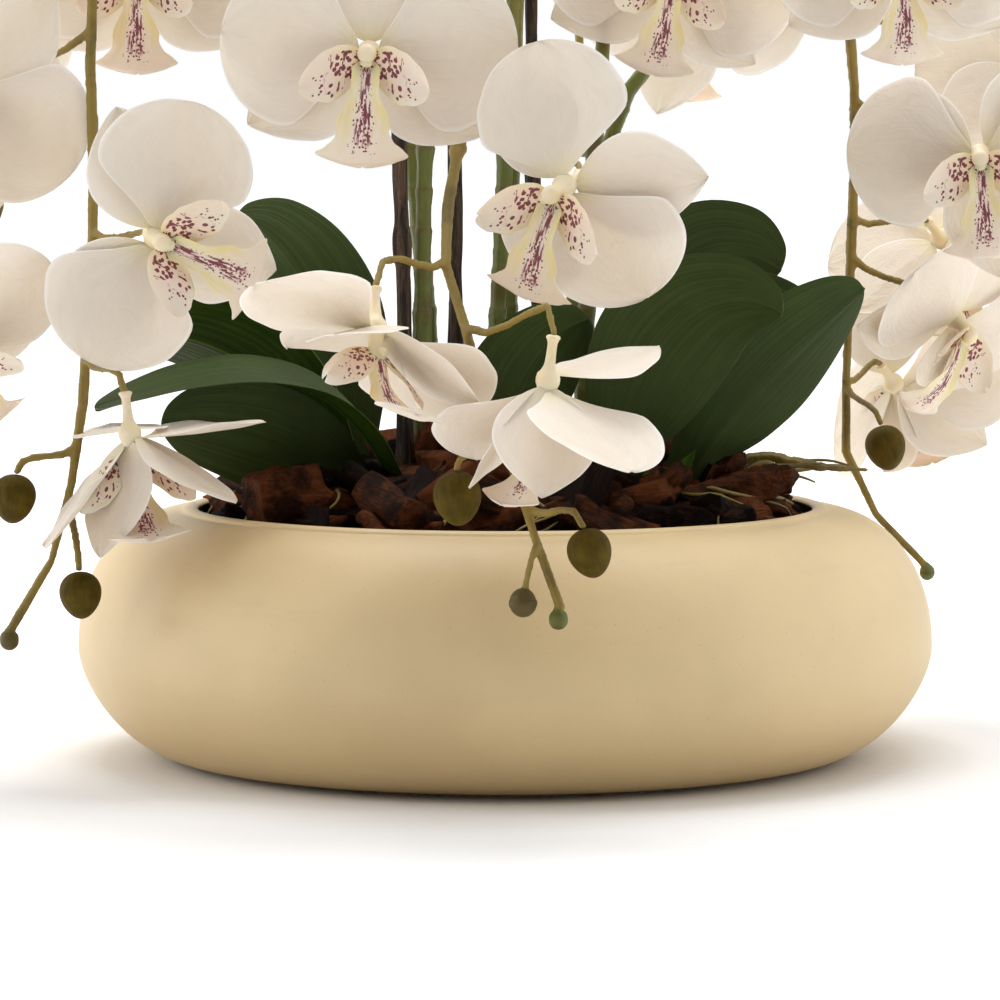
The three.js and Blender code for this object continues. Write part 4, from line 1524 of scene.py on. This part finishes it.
FIRST_STEPS, LAST_STEPS, KEPT_STARTS = 5, 12, 4  # matching steps, and how many starts go on
WORST_MATCH = 2.5 * MM


def find_flower(name, templates):
    """Which posture a CAD flower has and where it stands, by matching its mesh."""
    bm = merged(name)
    points = np.array([v.co for v in bm.verts])
    mesh = mesh_of("working", bm)
    centre, axes = spread_of(mesh)
    bpy.data.meshes.remove(mesh)
    flips = (np.diag([1, 1, 1]), np.diag([1, -1, -1]), np.diag([-1, 1, -1]), np.diag([-1, -1, 1]))
    rough = []
    for kind, (tree, target, there, frame_axes) in templates.items():
        for flip in flips:
            turn = frame_axes @ flip @ axes.T
            start = (1.0, turn, there - turn @ centre)
            off, found = fit(points[::2], start, tree, target, FIRST_STEPS)
            rough.append((off, len(rough), kind, found))
    fine = []
    for _, order, kind, start in sorted(rough)[:KEPT_STARTS]:
        tree, target = templates[kind][:2]
        off, found = fit(points, start, tree, target, LAST_STEPS)
        fine.append((off, order, kind, found))
    off, _, kind, (scale, turn, shift) = min(fine)
    place = Matrix(turn.tolist()).to_4x4()
    place = Matrix.Translation(Vector(shift)) @ place @ Matrix.Scale(scale, 4)
    return kind, place.inverted(), off


class ORCHID_OT_flowers(bpy.types.Operator):
    """Open the flowers, each where its CAD flower is"""

    bl_idname = "orchid.flowers"
    bl_label = "Flowers"

    def execute(self, context):
        s = context.scene.orchid_flowers
        petal, shade, yellow = tuple(s.petal), tuple(s.shade), tuple(s.throat)
        looks = [
            petal_cloth("petal_cloth", petal, shade, yellow),
            petal_cloth("sepal_cloth", times(petal, 0.985), shade, yellow),
            lip_cloth("lip_ear", petal, yellow, tuple(s.spot), False),
            lip_cloth("lip_middle", petal, yellow, tuple(s.spot), True),
            column_flesh(petal, yellow),
        ]
        meshes = {
            kind: [flower_mesh(posture, s, 100 * k + 3 * i) for i in range(VARIANTS.get(kind, 1))]
            for k, (kind, posture) in enumerate(POSTURES.items())
        }
        templates = {}
        for kind, made in meshes.items():
            target = np.array([v.co for v in made[0].vertices])
            tree = KDTree(len(target))
            for i, p in enumerate(target):
                tree.insert(p, i)
            tree.balance()
            templates[kind] = (tree, target, *spread_of(made[0]))
        for index, name in enumerate(group("flower_")):
            kind, place, off = find_flower(name, templates)
            if off > WORST_MATCH:
                raise RuntimeError(f"{name} matches no flower template: {off / MM:.2f} mm off")
            mesh = meshes[kind][index % len(meshes[kind])].copy()
            mesh.transform(place)
            settle_mesh(name + "_bloom", mesh, looks, [name])
        return {"FINISHED"}


# ---- buds ----

BUD_HALF = 9.3 / 21  # half a bud's width as a share of its length


class ORCHID_OT_buds(bpy.types.Operator):
    """Swell the closed buds"""

    bl_idname = "orchid.buds"
    bl_label = "Buds"

    def execute(self, context):
        skin = bud_skin(tuple(context.scene.orchid_greens.bud))
        for index, name in enumerate(group("bud_")):
            bm = merged(name)
            poles = [v.co.copy() for v in bm.verts if len(v.link_edges) == 8]
            top, tip = max(poles, key=lambda p: p.z), min(poles, key=lambda p: p.z)
            bm.free()
            ahead = (tip - top).normalized()
            length = (tip - top).length
            side = ahead.cross(Vector((0.2, 1, 0.1))).normalized()
            other = ahead.cross(side)
            bm = bmesh.new()
            seam = bm.verts.layers.float.new("seam")
            folds = {}

            def place(t, u, face):
                angle = math.atan2(face, u)
                girth = length * BUD_HALF * max(0.0, math.sin(math.pi * t**0.82)) ** 0.5
                fold = abs(math.sin(1.5 * angle + 0.9 * t + index))
                dip = math.exp(-((fold / 0.16) ** 2)) * smooth(t, 0.08, 0.3)
                ridge = 0.03 * math.cos(15 * angle)
                girth *= 1 - 0.05 * dip + ridge * 0.3
                out = side * math.cos(angle) + other * math.sin(angle)
                point = top + ahead * length * t + out * girth
                folds[tuple(round(c, 7) for c in point)] = dip
                return point

            blade(bm, 60, 36, place)
            for v in bm.verts:
                v[seam] = folds.get(tuple(round(c, 7) for c in v.co), 0.0)
            settle(name + "_skin", bm, [skin], [name])
        return {"FINISHED"}


# ---- stage ----


FLOOR_RADIUS = 30
SCREEN_BACK = 1.3  # how far back the screen stands, of the camera's distance
SCREEN_RISE = 0.3  # height of its middle, of its width
# name, place, what it faces, width in metres and power in watts
LIGHTS = (
    ("overhead", (0.0, 0.55, 2.2), (0, 0, 0.2), 1.6, 34),
    ("left", (-2.1, 0.3, 0.7), (0, 0, 0.15), 1.0, 9),
    ("right", (2.1, 0.3, 0.7), (0, 0, 0.15), 1.0, 1.4),
)
# the camera's aim: how far aside, and its height as a share of the bowl's
AIM_ASIDE, AIM_HEIGHT = -2.3 * MM, 1.0153


def add_backdrop(name, bm, material):
    """A piece of the stage, which isn't part of the plant."""
    mesh = mesh_of(name, bm)
    mesh.materials.append(material)
    made = link(name, mesh)
    made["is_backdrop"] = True
    return made


def add_light(name, where, aim, width, power):
    """A square soft light that faces aim."""
    light = bpy.data.lights.new(name, "AREA")
    light.shape, light.size, light.energy = "SQUARE", width, power
    lamp = link(name, light)
    lamp.location = where
    lamp.rotation_euler = (Vector(aim) - Vector(where)).to_track_quat("-Z", "Y").to_euler()


class ORCHID_OT_stage(bpy.types.Operator):
    """Lay the pale floor and set the lights and the camera"""

    bl_idname = "orchid.stage"
    bl_label = "Stage"

    def execute(self, context):
        scene, s = context.scene, context.scene.orchid_stage
        bm = bmesh.new()
        bmesh.ops.create_circle(bm, cap_ends=True, segments=96, radius=FLOOR_RADIUS)
        add_backdrop("floor", bm, floor_paper())
        bm = bmesh.new()
        bmesh.ops.create_grid(bm, x_segments=1, y_segments=1, size=1)
        turn = Matrix.Rotation(math.pi / 2, 4, "X")
        stretch = Matrix.Diagonal((s.screen / 2, 1, s.screen * SCREEN_RISE, 1))
        where = Matrix.Translation((0, -SCREEN_BACK * s.distance, s.screen * SCREEN_RISE))
        bmesh.ops.transform(bm, matrix=where @ stretch @ turn, verts=bm.verts)
        add_backdrop("screen", bm, dark_felt()).visible_camera = False

        world = bpy.data.worlds.new("studio")
        world.use_nodes = True
        ground = world.node_tree.nodes["Background"]
        ground.inputs[0].default_value = (1, 1, 1, 1)
        ground.inputs[1].default_value = s.sky
        scene.world = world
        scene.view_settings.view_transform = "Standard"
        scene.view_settings.look = "None"

        for light in LIGHTS:
            add_light(*light)

        aim = Vector((AIM_ASIDE, 0, BOWL_BOX[1].z * AIM_HEIGHT))
        camera = link("camera", bpy.data.cameras.new("camera"))
        camera.data.lens, camera.data.sensor_width = s.lens, 36
        camera.data.clip_end = 100
        back = Vector((0, -math.cos(s.elevation), math.sin(s.elevation)))
        camera.location = aim + back * s.distance
        camera.rotation_euler = (-back).to_track_quat("-Z", "Y").to_euler()
        scene.camera = camera
        return {"FINISHED"}


PIECES = (
    ORCHID_OT_bowl,
    ORCHID_OT_pads,
    ORCHID_OT_bark_bed,
    ORCHID_OT_bark_chips,
    ORCHID_OT_bark_chunks,
    ORCHID_OT_stakes,
    ORCHID_OT_roots,
    ORCHID_OT_leaves,
    ORCHID_OT_spikes,
    ORCHID_OT_flowers,
    ORCHID_OT_buds,
    ORCHID_OT_stage,
)


class ORCHID_PT_pieces(bpy.types.Panel):
    """The orchid's pieces and their settings"""

    bl_idname = "ORCHID_PT_pieces"
    bl_label = "Potted orchid"
    bl_space_type = "VIEW_3D"
    bl_region_type = "UI"
    bl_category = "Orchid"

    def draw(self, context):
        for name, kind in GROUPS.items():
            box = self.layout.box()
            for key in kind.__annotations__:
                box.prop(getattr(context.scene, name), key)
        for piece in PIECES:
            self.layout.operator(piece.bl_idname)


def register():
    for kind in (*GROUPS.values(), *PIECES, ORCHID_PT_pieces):
        bpy.utils.register_class(kind)
    for name, kind in GROUPS.items():
        setattr(bpy.types.Scene, name, PointerProperty(type=kind))


def unregister():
    for name in GROUPS:
        delattr(bpy.types.Scene, name)
    for kind in (ORCHID_PT_pieces, *reversed(PIECES), *reversed(list(GROUPS.values()))):
        bpy.utils.unregister_class(kind)


def main():
    register()
    for piece in PIECES:
        family, action = piece.bl_idname.split(".")
        getattr(getattr(bpy.ops, family), action)()
    bpy.context.view_layer.update()
    boxes = {"cad": CAD_BOX, "visual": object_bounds()}
    {k: [list(low), list(high)] for k, (low, high) in boxes.items()}


if __name__ == "__main__":
    main()
